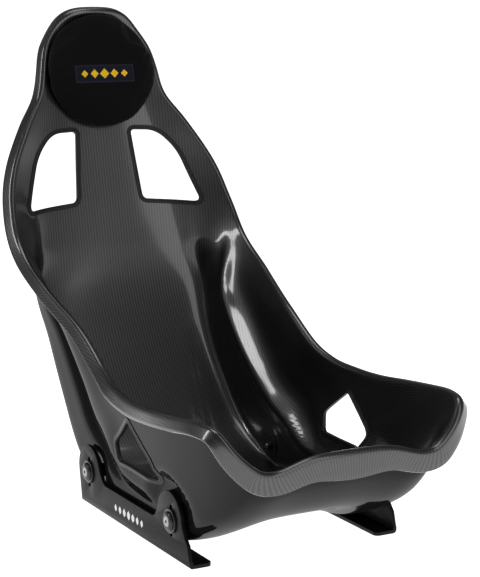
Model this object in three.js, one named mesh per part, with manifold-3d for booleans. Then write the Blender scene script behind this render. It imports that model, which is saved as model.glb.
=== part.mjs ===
// A carbon racing seat on two side brackets: one moulded shell with a rolled rim, edge trims in
// its harness slots, a hook-and-loop head pad, and four bolt stacks that clamp the shell to the
// slotted ears of the brackets. Millimetres, +Z up, occupant facing -Y.
import * as THREE from "three";
import { mergeVertices } from "three/addons/utils/BufferGeometryUtils.js";
import Module from "manifold-3d";

const wasm = await Module();
wasm.setup();

// ---- driving dimensions ----
const GAP = 0.3; // between pieces that touch
const SHELL_T = 4; // laminate thickness
const ROLL_R = 8; // radius of the rolled rim
const BOLT_Y = 160; // the side bolts sit this far in front of and behind the middle
const BOLT_Z = 62; // height of the side bolts above the floor
const PAD_X = 173; // inner face of the flat mounting pads in the shell's sides
const PAD_R = 21; // radius of the pads
const WALL_X = 180; // the side walls' inner faces stay within this behind the brackets
const GROOVE_X = 138; // middle of each leg groove
const GROOVE_W = 50; // its half width
const RIDGE = 15; // how far the bolsters' inner ridge stands inboard
const DISH = 7; // depth of the dish between ridge and rim

const BRACKET_X = 193; // outer face of a bracket's upright
const BRACKET_T = 6;
const BRACKET_BEND = 6; // outer radius of the fold at the floor
const FLANGE_W = 41; // width of the foot flange, from the upright's outer face
const FLANGE_CORNER = 9;
const BRACKET_REAR_Y = 195;
const BRACKET_FRONT_Y = -224;
const EAR_R = 43; // round end of an ear
const EAR_Z = 65; // its middle
const REAR_EAR_Y = 162;
const FRONT_EAR_Y = -152;
const WAIST_Z = 52; // top edge of the upright between its ears
const SLOT_W = 9.4; // vertical adjuster slot for an M8 bolt
const SLOT_L = 54;

const SHANK_R = 4; // M8 countersunk screw
const HEAD_R = 8.7;
const HEAD_H = 4.6;
const HEX_SOCKET = 5;
const HEX_DEPTH = 3;
const CUP_R = 16; // finishing washer under the screw head
const CUP_T = 5;
const WASHER_R = 20; // large washer against the bracket
const WASHER_T = 3.5;
const SPACER_R = 11; // sleeve between bracket and shell
const INNER_WASHER_R = 19;
const INNER_WASHER_T = 2;
const NUT_FLATS = 13;
const NUT_H = 8;
const BOLT_HOLE_R = 4.7;

const HEAD_Z = 736; // middle of the head pad
const HEAD_PAD = { rx: 111, rz: 106, thick: 26, skin: 2, board: 2, standoff: 4.5 };
const BADGE = { w: 122, h: 34, t: 1.6, z: -5 };
const TAPE = { w: 110, h: 25, z: 45 };

const TRIM_WALL = 2.5; // edge trim between its slot's clear opening and the laminate's cut edge
const TRIM_REACH = 8.5; // width of its flanges, from the clear opening
const TRIM_FLANGE = 1.5; // their thickness
const TRIM_PLAY = 0.9; // between a flange and the laminate

// The shell from head to front edge. back: the inner face on the middle plane (y, z). rim: where
// the side wall ends (x, y, z), before the rim rolls over. tub: 0 for the shallow back section,
// 1 for the square seat section. turn: degrees the rim rolls over. lip: length of its flange.
// groove: depth of the two leg grooves.
const STATIONS = [
  { back: [541, 844], rim: [94, 541, 844], tub: 0, turn: 95, lip: 10, groove: 0 },
  { back: [549, 815], rim: [101, 542, 815], tub: 0, turn: 95, lip: 10, groove: 0 },
  { back: [547, 780], rim: [107, 533, 780], tub: 0, turn: 92, lip: 11, groove: 0 },
  { back: [538, 734], rim: [112, 521, 734], tub: 0, turn: 90, lip: 11, groove: 0 },
  { back: [527, 683], rim: [125, 510, 686], tub: 0, turn: 90, lip: 13, groove: 0 },
  { back: [515, 630], rim: [160, 486, 632], tub: 0, turn: 92, lip: 15, groove: 0 },
  { back: [500, 560], rim: [200, 453, 557], tub: 0.02, turn: 95, lip: 15, groove: 0 },
  { back: [484, 490], rim: [217, 420, 490], tub: 0.1, turn: 97, lip: 15, groove: 0 },
  { back: [468, 415], rim: [221, 370, 424], tub: 0.4, turn: 105, lip: 14, groove: 0 },
  { back: [450, 335], rim: [216, 279, 371], tub: 0.8, turn: 120, lip: 13, groove: 0 },
  { back: [406, 252], rim: [201, 163, 316], tub: 0.95, turn: 132, lip: 14, groove: 0 },
  { back: [345, 165], rim: [199, 72, 265], tub: 1, turn: 140, lip: 15, groove: 0 },
  { back: [255, 72], rim: [206, 12, 243], tub: 1, turn: 145, lip: 15, groove: 0 },
  { back: [150, 30], rim: [214, -55, 237], tub: 1, turn: 150, lip: 15, groove: 0 },
  { back: [30, 29], rim: [219, -120, 238], tub: 1, turn: 150, lip: 15, groove: 4 },
  { back: [-80, 38], rim: [223, -190, 245], tub: 1, turn: 150, lip: 15, groove: 14 },
  { back: [-165, 50], rim: [222, -255, 252], tub: 1, turn: 145, lip: 15, groove: 20 },
  { back: [-275, 86], rim: [218, -316, 257], tub: 0.85, turn: 132, lip: 14, groove: 9 },
  { back: [-345, 142], rim: [209, -362, 255], tub: 0.7, turn: 124, lip: 16, groove: 12 },
  { back: [-378, 204], rim: [202, -388, 250], tub: 0.6, turn: 150, lip: 26, groove: 18 },
];
const LAST = STATIONS.length - 1;
const HEAD_ROUND = 3; // stations over which the outline rounds off at the head
const FRONT_ROUND = 17.4; // station where the front corners start
const FRONT_SQUARENESS = 3.4; // superellipse exponent of the front corners
const SPINE_TOP = 3.2; // the mesh's middle line runs between these two stations
const SPINE_END = 16.8;
const CORNER_DETAIL = 90; // millimetres of outline that count as much as one radian of bend
const FRONT_LIP_EXTRA = 10; // the flange is deeper at the middle of the front edge

// Half sections as B-spline control points: share of the half width, share of the wall height.
const BACK_SECTION = [[0, 0], [0.2, 0], [0.42, 0.03], [0.62, 0.17], [0.78, 0.42], [0.9, 0.72], [1, 1]];
const TUB_SECTION = [[0, 0], [0.35, 0], [0.68, -0.01], [0.87, 0], [0.835, 0.26], [0.925, 0.62], [1, 1]];

// Clear openings of the harness slots, seen from the front (x, z) and from the side (y, z).
const SHOULDER_SLOT = [[57, 622], [108, 620], [144, 583], [178, 482], [69, 491]]; // x, z
const SHOULDER_CORNERS = [7, 52, 115, 9, 12];
const LAP_SLOT = [[-43, 200], [-121, 143], [-112, 117], [18, 119], [23, 150]]; // y, z
const LAP_CORNERS = [9, 22, 14, 10, 12];

// ---- materials ----
const look = (color, roughness, metalness = 0) => () =>
  new THREE.MeshStandardMaterial({ color, roughness, metalness });
const MATERIAL = {
  carbon: look(0x1b1c1e, 0.12),
  rubber: look(0x121212, 0.75),
  velour: look(0x0b0b0c, 0.95),
  foam: look(0x3a3a3c, 0.9),
  board: look(0x1a1a1a, 0.6),
  badge: look(0x11131c, 0.8),
  tape: look(0x161616, 0.95),
  blackMetal: look(0x1c1c1e, 0.42, 0.4),
  steel: look(0xc8c9cb, 0.25, 1),
};

const seat = new THREE.Group();

function addMesh(name, geometry, material, parent = seat) {
  const mesh = new THREE.Mesh(geometry, material());
  mesh.name = name;
  parent.add(mesh);
  return mesh;
}

// ---- solids and cuts ----
function weld(geometry) {
  const bare = geometry.clone();
  bare.deleteAttribute("normal");
  bare.deleteAttribute("uv");
  return mergeVertices(bare, 1e-3);
}

function toSolid(geometry) {
  const welded = weld(geometry);
  return new wasm.Manifold(
    new wasm.Mesh({
      numProp: 3,
      vertProperties: welded.attributes.position.array,
      triVerts: new Uint32Array(welded.index.array),
    }),
  );
}

function toGeometry(solid) {
  const { vertProperties, triVerts } = solid.getMesh();
  const geometry = new THREE.BufferGeometry();
  geometry.setAttribute("position", new THREE.BufferAttribute(vertProperties, 3));
  geometry.setIndex(new THREE.BufferAttribute(triVerts, 1));
  geometry.computeVertexNormals();
  return geometry;
}

function subtract(geometry, ...cutters) {
  return toGeometry(cutters.reduce((solid, cutter) => solid.subtract(toSolid(cutter)), toSolid(geometry)));
}

// Closed surface from a grid of points: rows of equal length, each row closed on itself. The second
// half of each row is split into triangles as the mirror image of the first. Triangles that
// collapse to a line are left out.
function gridGeometry(rows) {
  const count = rows[0].length;
  const positions = rows.flat().flatMap((p) => [p.x, p.y, p.z]);
  const index = [];
  const at = (row, i) => row * count + (i % count);
  const same = (a, b) => {
    const [p, q] = [a, b].map((k) => rows[Math.floor(k / count)][k % count]);
    return p.distanceToSquared(q) < 1e-6;
  };
  const triangle = (a, b, c) => {
    if (!same(a, b) && !same(b, c) && !same(a, c)) index.push(a, b, c);
  };
  for (let row = 0; row < rows.length - 1; row++) {
    for (let i = 0; i < count; i++) {
      const firstHalf = i < count / 2;
      triangle(at(row, i), at(row + 1, i), at(row + (firstHalf ? 1 : 0), i + 1));
      triangle(at(row + (firstHalf ? 0 : 1), i), at(row + 1, i + 1), at(row, i + 1));
    }
  }
  const geometry = new THREE.BufferGeometry();
  geometry.setAttribute("position", new THREE.Float32BufferAttribute(positions, 3));
  geometry.setIndex(index);
  return outward(weld(geometry));
}

// The same surface with its faces turned outwards.
function outward(geometry) {
  const p = geometry.attributes.position;
  const index = geometry.index.array;
  const [a, b, c] = [new THREE.Vector3(), new THREE.Vector3(), new THREE.Vector3()];
  let volume = 0;
  for (let i = 0; i < index.length; i += 3) {
    a.fromBufferAttribute(p, index[i]);
    b.fromBufferAttribute(p, index[i + 1]);
    c.fromBufferAttribute(p, index[i + 2]);
    volume += a.dot(b.cross(c));
  }
  if (volume < 0) {
    for (let i = 0; i < index.length; i += 3) {
      [index[i + 1], index[i + 2]] = [index[i + 2], index[i + 1]];
    }
  }
  return geometry;
}

// ---- the shell's inner face ----
const smooth = THREE.MathUtils.smoothstep;

// Catmull-Rom through one value of the stations.
function stationValue(s, pick) {
  const i = Math.min(Math.floor(s), LAST - 1);
  const t = s - i;
  const [p1, p2] = [pick(STATIONS[i]), pick(STATIONS[i + 1])];
  const p0 = i > 0 ? pick(STATIONS[i - 1]) : 2 * p1 - p2;
  const p3 = i < LAST - 1 ? pick(STATIONS[i + 2]) : 2 * p2 - p1;
  return 0.5 * (2 * p1 + (p2 - p0) * t + (2 * p0 - 5 * p1 + 4 * p2 - p3) * t * t +
    (3 * p1 - p0 - 3 * p2 + p3) * t * t * t);
}

// Weights of a clamped uniform cubic B-spline's control points at v.
function splineWeights(count, v) {
  const spans = count - 3;
  const knots = [0, 0, 0];
  for (let i = 0; i <= spans; i++) knots.push(i / spans);
  knots.push(1, 1, 1);
  const u = Math.min(v, 1 - 1e-9);
  let weights = knots.slice(1).map((knot, i) => (u >= knots[i] && u < knot ? 1 : 0));
  const share = (top, bottom) => (bottom > 0 ? top / bottom : 0);
  for (let degree = 1; degree <= 3; degree++) {
    weights = weights.slice(1).map(
      (next, i) =>
        share(u - knots[i], knots[i + degree] - knots[i]) * weights[i] +
        share(knots[i + degree + 1] - u, knots[i + degree + 1] - knots[i + 1]) * next,
    );
  }
  return weights;
}

// The side walls stand in between the brackets, and are flat around the bolts.
function tuckedIn(x, y, z) {
  const fromEar = Math.hypot(y - (y < 0 ? FRONT_EAR_Y : REAR_EAR_Y), z - EAR_Z) - EAR_R;
  const fromBracket = Math.min(fromEar, z - WAIST_Z);
  const over = x - WALL_X;
  const tucked = x - (1 - smooth(fromBracket, 11, 42)) * 0.5 * (over + Math.hypot(over, 4));
  const fromBolt = Math.hypot(Math.abs(y) - BOLT_Y, z - BOLT_Z);
  const flat = (1 - smooth(fromBolt, 26, 50)) * smooth(tucked, 130, 165);
  return THREE.MathUtils.lerp(tucked, PAD_X, flat);
}

// How far inboard the bolsters' ridge and dish put the face.
function ridge(s, v) {
  const line = 0.8 + 0.16 * (1 - smooth(s, 7.6, 9.6)) - 0.13 * smooth(s, 12.2, 14.2);
  const fade = smooth(s, 7.7, 9.6) * (1 - smooth(s, 12.8, 14.6)) * (1 - smooth(v, 0.92, 1));
  const raised = RIDGE * Math.exp(-(((v - line) / 0.04) ** 2));
  const sunk = DISH * smooth(s, 8.8, 10.4) * Math.exp(-(((v - line - 0.1) / 0.05) ** 2));
  return fade * (raised - sunk);
}

// Point of the inner face at station s and section parameter v, -1 to 1 from right wall to left.
function innerFace(s, v) {
  const weights = splineWeights(TUB_SECTION.length, Math.abs(v));
  const tub = stationValue(s, (k) => k.tub);
  const control = (i, axis) => THREE.MathUtils.lerp(BACK_SECTION[i][axis], TUB_SECTION[i][axis], tub);
  const section = (axis) => weights.reduce((sum, w, i) => sum + w * control(i, axis), 0);
  const [across, up] = [section(0), section(1)];
  const x = across * stationValue(s, (k) => k.rim[0]) - ridge(s, Math.abs(v));
  const y = THREE.MathUtils.lerp(stationValue(s, (k) => k.back[0]), stationValue(s, (k) => k.rim[1]), up);
  let z = THREE.MathUtils.lerp(stationValue(s, (k) => k.back[1]), stationValue(s, (k) => k.rim[2]), up);
  z -= stationValue(s, (k) => k.groove) * Math.exp(-(((x - GROOVE_X) / GROOVE_W) ** 2));
  return new THREE.Vector3(Math.sign(v) * tuckedIn(x, y, z), y, z);
}

// Unit normal of the inner face, towards the occupant.
function innerNormal(s, v) {
  const step = 1e-3;
  const [s0, s1] = [Math.max(s - step, 0), Math.min(s + step, LAST)];
  const [v0, v1] = [Math.max(v - step, -1), Math.min(v + step, 1)];
  const along = innerFace(s1, v).sub(innerFace(s0, v));
  const across = innerFace(s, v1).sub(innerFace(s, v0));
  return along.cross(across).normalize();
}

// The inner face's point and normal where two of its coordinates have given values.
function locate(axisA, a, axisB, b, start) {
  let [s, v] = start;
  const step = 1e-4;
  for (let pass = 0; pass < 40; pass++) {
    const p = innerFace(s, v);
    if (Math.abs(a - p[axisA]) + Math.abs(b - p[axisB]) < 1e-4) break;
    const ps = innerFace(s + step, v).sub(p).divideScalar(step);
    const pv = innerFace(s, v + step).sub(p).divideScalar(step);
    const [da, db] = [a - p[axisA], b - p[axisB]];
    const det = ps[axisA] * pv[axisB] - pv[axisA] * ps[axisB];
    s += THREE.MathUtils.clamp((da * pv[axisB] - db * pv[axisA]) / det, -0.5, 0.5);
    v += THREE.MathUtils.clamp((db * ps[axisA] - da * ps[axisB]) / det, -0.1, 0.1);
    s = THREE.MathUtils.clamp(s, 0, LAST - 0.01);
    v = THREE.MathUtils.clamp(v, 0, 0.999);
  }
  return { point: innerFace(s, v), normal: innerNormal(s, v) };
}

const backFace = (x, z) => locate("x", Math.max(Math.abs(x), 0.01), "z", z, [6, 0.5]);
const wallFace = (y, z) => locate("y", y, "z", z, [13, 0.85]);
const backY = (x, z) => backFace(x, z).point.y;

// ---- the rim ----
// Points of the shell's outline, closer together in its corners: one half from head to front, then
// the other half back.
function outline(halfCount) {
  const fine = 600;
  const points = [];
  for (let i = 0; i <= fine; i++) {
    const a = (i / fine) * (Math.PI / 2);
    points.push([HEAD_ROUND * (1 - Math.cos(a)), Math.sin(a)]);
  }
  for (let i = 1; i < fine; i++) points.push([THREE.MathUtils.lerp(HEAD_ROUND, FRONT_ROUND, i / fine), 1]);
  for (let i = 0; i <= fine; i++) {
    const a = (i / fine) * (Math.PI / 2);
    const power = 2 / FRONT_SQUARENESS;
    points.push([FRONT_ROUND + (LAST - FRONT_ROUND) * Math.sin(a) ** power, Math.cos(a) ** power]);
  }
  const places = points.map((point) => innerFace(...point));
  const lengths = [0];
  for (let i = 1; i < places.length; i++) {
    const step = places[i].clone().sub(places[i - 1]);
    const bend = i > 1 ? step.angleTo(places[i - 1].clone().sub(places[i - 2])) : 0;
    lengths.push(lengths[i - 1] + step.length() + CORNER_DETAIL * bend);
  }
  const half = [];
  for (let i = 0, k = 0; i <= halfCount; i++) {
    const target = (i / halfCount) * lengths.at(-1);
    while (k < lengths.length - 2 && lengths[k + 1] < target) k++;
    const t = (target - lengths[k]) / (lengths[k + 1] - lengths[k]);
    half.push([0, 1].map((axis) => THREE.MathUtils.lerp(points[k][axis], points[k + 1][axis], t)));
  }
  half[0][1] = 0;
  half[halfCount][1] = 0;
  const left = half.slice(1, -1).reverse().map(([s, v]) => [s, -v]);
  return [...half, ...left];
}

// Rows of the shell's show face, from its middle line out over the rolled rim to the flange's
// end, each point with its normal.
function showFace(halfCount, faceRows, rollRows) {
  const rim = outline(halfCount);
  const middle = rim.map(([s]) => THREE.MathUtils.clamp(s, SPINE_TOP, SPINE_END));
  const rows = [];
  for (let j = 0; j <= faceRows; j++) {
    const r = 1 - (1 - j / faceRows) ** 1.15;
    rows.push(rim.map(([s, v], i) => {
      const [sj, vj] = [middle[i] + (s - middle[i]) * r, v * r];
      return { point: innerFace(sj, vj), normal: innerNormal(sj, vj) };
    }));
  }
  const edge = rows.at(-1);
  const count = edge.length;
  const frames = edge.map(({ point, normal }, i) => {
    const along = edge[(i + 1) % count].point.clone().sub(edge[(i + count - 1) % count].point);
    const out = normal.clone().negate();
    out.addScaledVector(along.normalize(), -out.dot(along)).normalize();
    const up = along.clone().cross(out).normalize();
    if (up.dot(point.clone().sub(rows.at(-2)[i].point)) < 0) up.negate();
    return { out, up };
  });
  const turned = (i, angle) => {
    const { out, up } = frames[i];
    return {
      point: edge[i].point.clone()
        .addScaledVector(out, ROLL_R * (1 - Math.cos(angle)))
        .addScaledVector(up, ROLL_R * Math.sin(angle)),
      normal: out.clone().multiplyScalar(-Math.cos(angle)).addScaledVector(up, Math.sin(angle)),
    };
  };
  const turn = rim.map(([s]) => THREE.MathUtils.degToRad(stationValue(s, (k) => k.turn)));
  for (let j = 1; j <= rollRows; j++) rows.push(edge.map((_, i) => turned(i, (turn[i] * j) / rollRows)));
  const end = rows.at(-1);
  rows.push(edge.map(({ point }, i) => {
    const { out, up } = frames[i];
    const s = rim[i][0];
    const middleExtra = FRONT_LIP_EXTRA * smooth(s, 17.5, 18.8) * Math.exp(-((point.x / 65) ** 2));
    const lip = stationValue(s, (k) => k.lip) + middleExtra;
    return {
      point: end[i].point.clone()
        .addScaledVector(out, lip * Math.sin(turn[i]))
        .addScaledVector(up, lip * Math.cos(turn[i])),
      normal: end[i].normal,
    };
  }));
  return rows;
}

function shellGeometry() {
  const rows = showFace(46, 13, 3);
  const show = rows.map((row) => row.map(({ point }) => point));
  const offset = ({ point, normal }) => point.clone().addScaledVector(normal, -SHELL_T);
  const hidden = rows.map((row) => row.map(offset));
  return gridGeometry([...show, ...hidden.reverse()]);
}

// ---- slot outlines ----
function roundedShape(corners, radii) {
  const shape = new THREE.Shape();
  const n = corners.length;
  const points = corners.map(([a, b]) => new THREE.Vector2(a, b));
  points.forEach((corner, i) => {
    const before = points[(i + n - 1) % n];
    const after = points[(i + 1) % n];
    const back = before.clone().sub(corner).normalize();
    const on = after.clone().sub(corner).normalize();
    const reach = radii[i] / Math.tan(back.angleTo(on) / 2);
    const start = corner.clone().addScaledVector(back, reach);
    const end = corner.clone().addScaledVector(on, reach);
    if (i === 0) shape.moveTo(start.x, start.y);
    else shape.lineTo(start.x, start.y);
    shape.quadraticCurveTo(corner.x, corner.y, end.x, end.y);
  });
  shape.closePath();
  return shape;
}

// Evenly spaced points of an outline, counter-clockwise.
function ringPoints(shape, count) {
  const points = shape.getSpacedPoints(count).slice(0, count);
  return THREE.ShapeUtils.isClockWise(points) ? points.reverse() : points;
}

// An outline grown outwards by a distance.
function grown(points, distance) {
  return points.map((p, i) => {
    const before = points[(i + points.length - 1) % points.length];
    const along = points[(i + 1) % points.length].clone().sub(before).normalize();
    return new THREE.Vector2(p.x + along.y * distance, p.y - along.x * distance);
  });
}

// Points around a slot, beyond its clear opening by a distance and off the inner face by another.
function edgeRow(slot, beyond, off, side) {
  return grown(slot.outline, beyond).map((p) => {
    const { point, normal } = slot.toFace(p.x, p.y);
    point.addScaledVector(normal, off);
    return new THREE.Vector3(side * point.x, point.y, point.z);
  });
}

// A ring around a slot from a closed section of points: beyond the clear opening, off the face.
function slotRing(slot, side, section) {
  return gridGeometry(section.map(([beyond, off]) => edgeRow(slot, beyond, off, side)));
}

// What a slot and its trim take out of the laminate: the plug, and room for the channel.
function slotCutters(slot, side) {
  const [front, back] = [14, -SHELL_T - 14].map((off) => edgeRow(slot, 1, off, side));
  const cap = (row) => {
    const middle = row.reduce((sum, p) => sum.add(p), new THREE.Vector3()).divideScalar(row.length);
    return row.map(() => middle.clone());
  };
  const plug = gridGeometry([cap(front), front, back, cap(back)]);
  const [inner, outer] = [TRIM_PLAY - GAP, -SHELL_T - TRIM_PLAY + GAP];
  const [edge, middle, reach] = [TRIM_WALL + GAP, (TRIM_REACH + TRIM_WALL) / 2, TRIM_REACH + GAP];
  const channel = slotRing(slot, side, [
    [0, inner + 6], [0, outer - 6], [reach, outer - 6], [reach, outer], [middle, outer],
    [edge, outer], [edge, inner], [middle, inner], [reach, inner], [reach, inner + 6], [0, inner + 6],
  ]);
  return [plug, channel];
}

// A U-channel around a slot, with one flange on each face of the laminate.
function trimGeometry(slot, side) {
  const [near, far] = [TRIM_PLAY, -SHELL_T - TRIM_PLAY];
  const middle = (TRIM_REACH + TRIM_WALL) / 2;
  const section = [
    [TRIM_REACH, near], [TRIM_REACH, near + TRIM_FLANGE], [1, near + TRIM_FLANGE], [0, near],
    [0, far], [1, far - TRIM_FLANGE], [TRIM_REACH, far - TRIM_FLANGE], [TRIM_REACH, far],
    [middle, far], [TRIM_WALL, far], [TRIM_WALL, near], [middle, near], [TRIM_REACH, near],
  ];
  return slotRing(slot, side, section);
}

const SIDES = [["right", -1], ["left", 1]]; // the occupant's own right and left

// ---- turned and flat pieces ----
function latheX(profile, segments = 20) {
  const points = profile.map(([r, x]) => new THREE.Vector2(r, x));
  const geometry = new THREE.LatheGeometry(points, segments);
  geometry.rotateZ(-Math.PI / 2);
  return outward(weld(geometry));
}

function hexX(flats, from, to) {
  const geometry = new THREE.CylinderGeometry(flats / Math.sqrt(3), flats / Math.sqrt(3), to - from, 6);
  geometry.rotateZ(-Math.PI / 2);
  geometry.translate((from + to) / 2, 0, 0);
  return geometry;
}

function ringX(outer, inner, from, to) {
  return latheX([[inner, from], [outer, from], [outer, to], [inner, to], [inner, from]]);
}

// ---- shell and trims ----
const shoulderSlot = {
  outline: ringPoints(roundedShape(SHOULDER_SLOT, SHOULDER_CORNERS), 36),
  toFace: backFace,
};
const lapSlot = { outline: ringPoints(roundedShape(LAP_SLOT, LAP_CORNERS), 32), toFace: wallFace };

function addShell() {
  const pads = [];
  const cutters = [];
  for (const [, side] of SIDES) {
    for (const slot of [shoulderSlot, lapSlot]) cutters.push(...slotCutters(slot, side));
    for (const y of [-BOLT_Y, BOLT_Y]) {
      const round = (radius, from, to) => {
        const geometry = latheX([[0, from], [radius, from], [radius, to], [0, to]], 16);
        geometry.scale(side, 1, 1);
        geometry.translate(0, y, BOLT_Z);
        return outward(weld(geometry));
      };
      pads.push(round(PAD_R, PAD_X, PAD_X + SHELL_T));
      cutters.push(round(PAD_R + 1, PAD_X - 12, PAD_X));
      cutters.push(round(PAD_R + 1, PAD_X + SHELL_T, PAD_X + SHELL_T + 12));
      cutters.push(round(BOLT_HOLE_R, PAD_X - 1, PAD_X + SHELL_T + 1));
    }
  }
  const laminate = pads.reduce((solid, pad) => solid.add(toSolid(pad)), toSolid(shellGeometry()));
  addMesh("seat_shell", subtract(toGeometry(laminate), ...cutters), MATERIAL.carbon);
}

function addTrims() {
  for (const [name, side] of SIDES) {
    addMesh(`shoulder_slot_trim_${name}`, trimGeometry(shoulderSlot, side), MATERIAL.rubber);
    addMesh(`lap_slot_trim_${name}`, trimGeometry(lapSlot, side), MATERIAL.rubber);
  }
}

// ---- head pad ----
// A round solid in front of the head rest's hollow. near and far give, for a share of the radius,
// how far the solid's two faces stand in front of the shell.
function padDisc(scale, far, near, rings) {
  const segments = 28;
  const row = (share, standing) => {
    const points = [];
    for (let i = 0; i < segments; i++) {
      const a = (i / segments) * 2 * Math.PI;
      const x = HEAD_PAD.rx * scale * share * Math.cos(a);
      const z = HEAD_Z + HEAD_PAD.rz * scale * share * Math.sin(a);
      points.push(new THREE.Vector3(x, backY(x, z) - standing, z));
    }
    return points;
  };
  const shares = rings.map((share) => [share, near(share)]);
  const backShares = [...rings].reverse().map((share) => [share, far(share)]);
  return gridGeometry([...shares, ...backShares].map(([share, standing]) => row(share, standing)));
}


function addHeadPad() {
  const { thick, skin, board, standoff } = HEAD_PAD;
  const rings = [0, 0.4, 0.7, 0.88, 0.97, 1];
  const front = (share) => standoff + thick * (1 - 0.62 * share ** 7);
  const cover = padDisc(1, () => standoff, front, rings);
  const inner = padDisc(
    1 - skin / HEAD_PAD.rx,
    () => standoff - 1,
    (share) => front(share) - skin,
    rings,
  );
  addMesh("head_pad_cover", subtract(cover, inner), MATERIAL.velour);
  const coreScale = 1 - (skin + GAP) / HEAD_PAD.rx;
  const foam = padDisc(
    coreScale,
    () => standoff + board + 3 * GAP,
    (share) => front(share) - skin - GAP,
    rings,
  );
  addMesh("head_pad_foam", foam, MATERIAL.foam);
  const boardDisc = padDisc(coreScale, () => standoff, () => standoff + board, rings);
  addMesh("head_pad_back_board", boardDisc, MATERIAL.board);
}

// A thin rectangle that follows the pad, standing between near and far in front of the shell.
function strip(width, height, z, far, near) {
  const columns = 6;
  const half = height / 2;
  const row = (dz, standing) => {
    const points = [];
    for (let i = 0; i <= columns; i++) {
      const x = (i / columns - 0.5) * width;
      points.push(new THREE.Vector3(x, backY(x, z + dz) - standing(x, z + dz), z + dz));
    }
    return points;
  };
  const rows = [row(-half, far), row(half, far), row(half, near), row(-half, near)];
  const columnsOf = rows[0].map((_, i) => rows.map((r) => r[i]));
  const ends = [columnsOf[0], columnsOf.at(-1)].map((column) => {
    const middle = column.reduce((sum, p) => sum.add(p), new THREE.Vector3()).divideScalar(4);
    return column.map(() => middle.clone());
  });
  return gridGeometry([ends[0], ...columnsOf, ends[1]]);
}

function addBadgeAndTapes() {
  const { rx, rz, thick, standoff } = HEAD_PAD;
  const padFront = (x, z) => {
    const share = Math.min(1, Math.hypot(x / rx, (z - HEAD_Z) / rz));
    return standoff + thick * (1 - 0.62 * share ** 7) + 2 * GAP;
  };
  const badge = strip(BADGE.w, BADGE.h, HEAD_Z + BADGE.z, padFront, (x, z) => padFront(x, z) + BADGE.t);
  addMesh("head_pad_badge", badge, MATERIAL.badge);
  const middle = (standoff + GAP) / 2;
  for (const [name, dz] of [["upper", TAPE.z], ["lower", -TAPE.z]]) {
    const z = HEAD_Z + dz;
    const hook = strip(TAPE.w, TAPE.h, z, () => middle + GAP / 2, () => standoff - GAP);
    addMesh(`hook_tape_${name}`, hook, MATERIAL.tape);
    const loop = strip(TAPE.w, TAPE.h, z, () => 3 * GAP, () => middle - GAP / 2);
    addMesh(`loop_tape_${name}`, loop, MATERIAL.tape);
  }
}

// ---- brackets ----
function uprightShape() {
  const shape = new THREE.Shape();
  const ear = (y, from, to, steps) => {
    for (let i = 0; i <= steps; i++) {
      const a = THREE.MathUtils.lerp(from, to, i / steps);
      shape.lineTo(y + EAR_R * Math.cos(a), EAR_Z + EAR_R * Math.sin(a));
    }
  };
  shape.moveTo(BRACKET_FRONT_Y, 0);
  shape.lineTo(BRACKET_REAR_Y, 0);
  ear(REAR_EAR_Y, -0.12, Math.PI * 0.9, 9);
  shape.quadraticCurveTo(REAR_EAR_Y - 56, WAIST_Z, REAR_EAR_Y - 70, WAIST_Z);
  shape.lineTo(FRONT_EAR_Y + 64, WAIST_Z);
  shape.quadraticCurveTo(FRONT_EAR_Y + 46, WAIST_Z, FRONT_EAR_Y + 40, EAR_Z + 14);
  ear(FRONT_EAR_Y, 0.45, Math.PI * 0.98, 7);
  shape.lineTo(BRACKET_FRONT_Y + 8, 36);
  shape.closePath();
  return shape;
}

function slotShape() {
  const half = SLOT_L / 2 - SLOT_W / 2;
  const shape = new THREE.Shape();
  shape.absarc(0, half, SLOT_W / 2, 0, Math.PI);
  shape.absarc(0, -half, SLOT_W / 2, Math.PI, 2 * Math.PI);
  shape.closePath();
  return shape;
}

// Plate in the Y-Z plane: an outline drawn in (y, z), from x = from to x = to.
function plateX(shape, from, to, curveSegments = 6) {
  const geometry = new THREE.ExtrudeGeometry(shape, { depth: to - from, bevelEnabled: false, curveSegments });
  geometry.applyMatrix4(new THREE.Matrix4().makeBasis(
    new THREE.Vector3(0, 1, 0),
    new THREE.Vector3(0, 0, 1),
    new THREE.Vector3(1, 0, 0),
  ));
  geometry.translate(from, 0, 0);
  return geometry;
}

function footShape() {
  const inner = BRACKET_X - FLANGE_W;
  const shape = new THREE.Shape();
  shape.moveTo(BRACKET_X, BRACKET_FRONT_Y);
  shape.lineTo(BRACKET_X, BRACKET_REAR_Y);
  shape.lineTo(inner + FLANGE_CORNER, BRACKET_REAR_Y);
  shape.quadraticCurveTo(inner, BRACKET_REAR_Y, inner, BRACKET_REAR_Y - FLANGE_CORNER);
  shape.lineTo(inner, BRACKET_FRONT_Y + FLANGE_CORNER);
  shape.quadraticCurveTo(inner, BRACKET_FRONT_Y, inner + FLANGE_CORNER, BRACKET_FRONT_Y);
  shape.closePath();
  return shape;
}

// What the fold takes off the square outer corner along the floor.
function bendCutter() {
  const shape = new THREE.Shape();
  const r = BRACKET_BEND;
  shape.moveTo(BRACKET_X + 1, -1);
  shape.lineTo(BRACKET_X + 1, r);
  shape.lineTo(BRACKET_X, r);
  shape.absarc(BRACKET_X - r, r, r, 0, -Math.PI / 2, true);
  shape.lineTo(BRACKET_X - r, -1);
  shape.closePath();
  const length = BRACKET_REAR_Y - BRACKET_FRONT_Y + 40;
  const geometry = new THREE.ExtrudeGeometry(shape, { depth: length, bevelEnabled: false, curveSegments: 4 });
  geometry.rotateX(Math.PI / 2);
  geometry.translate(0, BRACKET_REAR_Y + 20, 0);
  return geometry;
}

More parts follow.
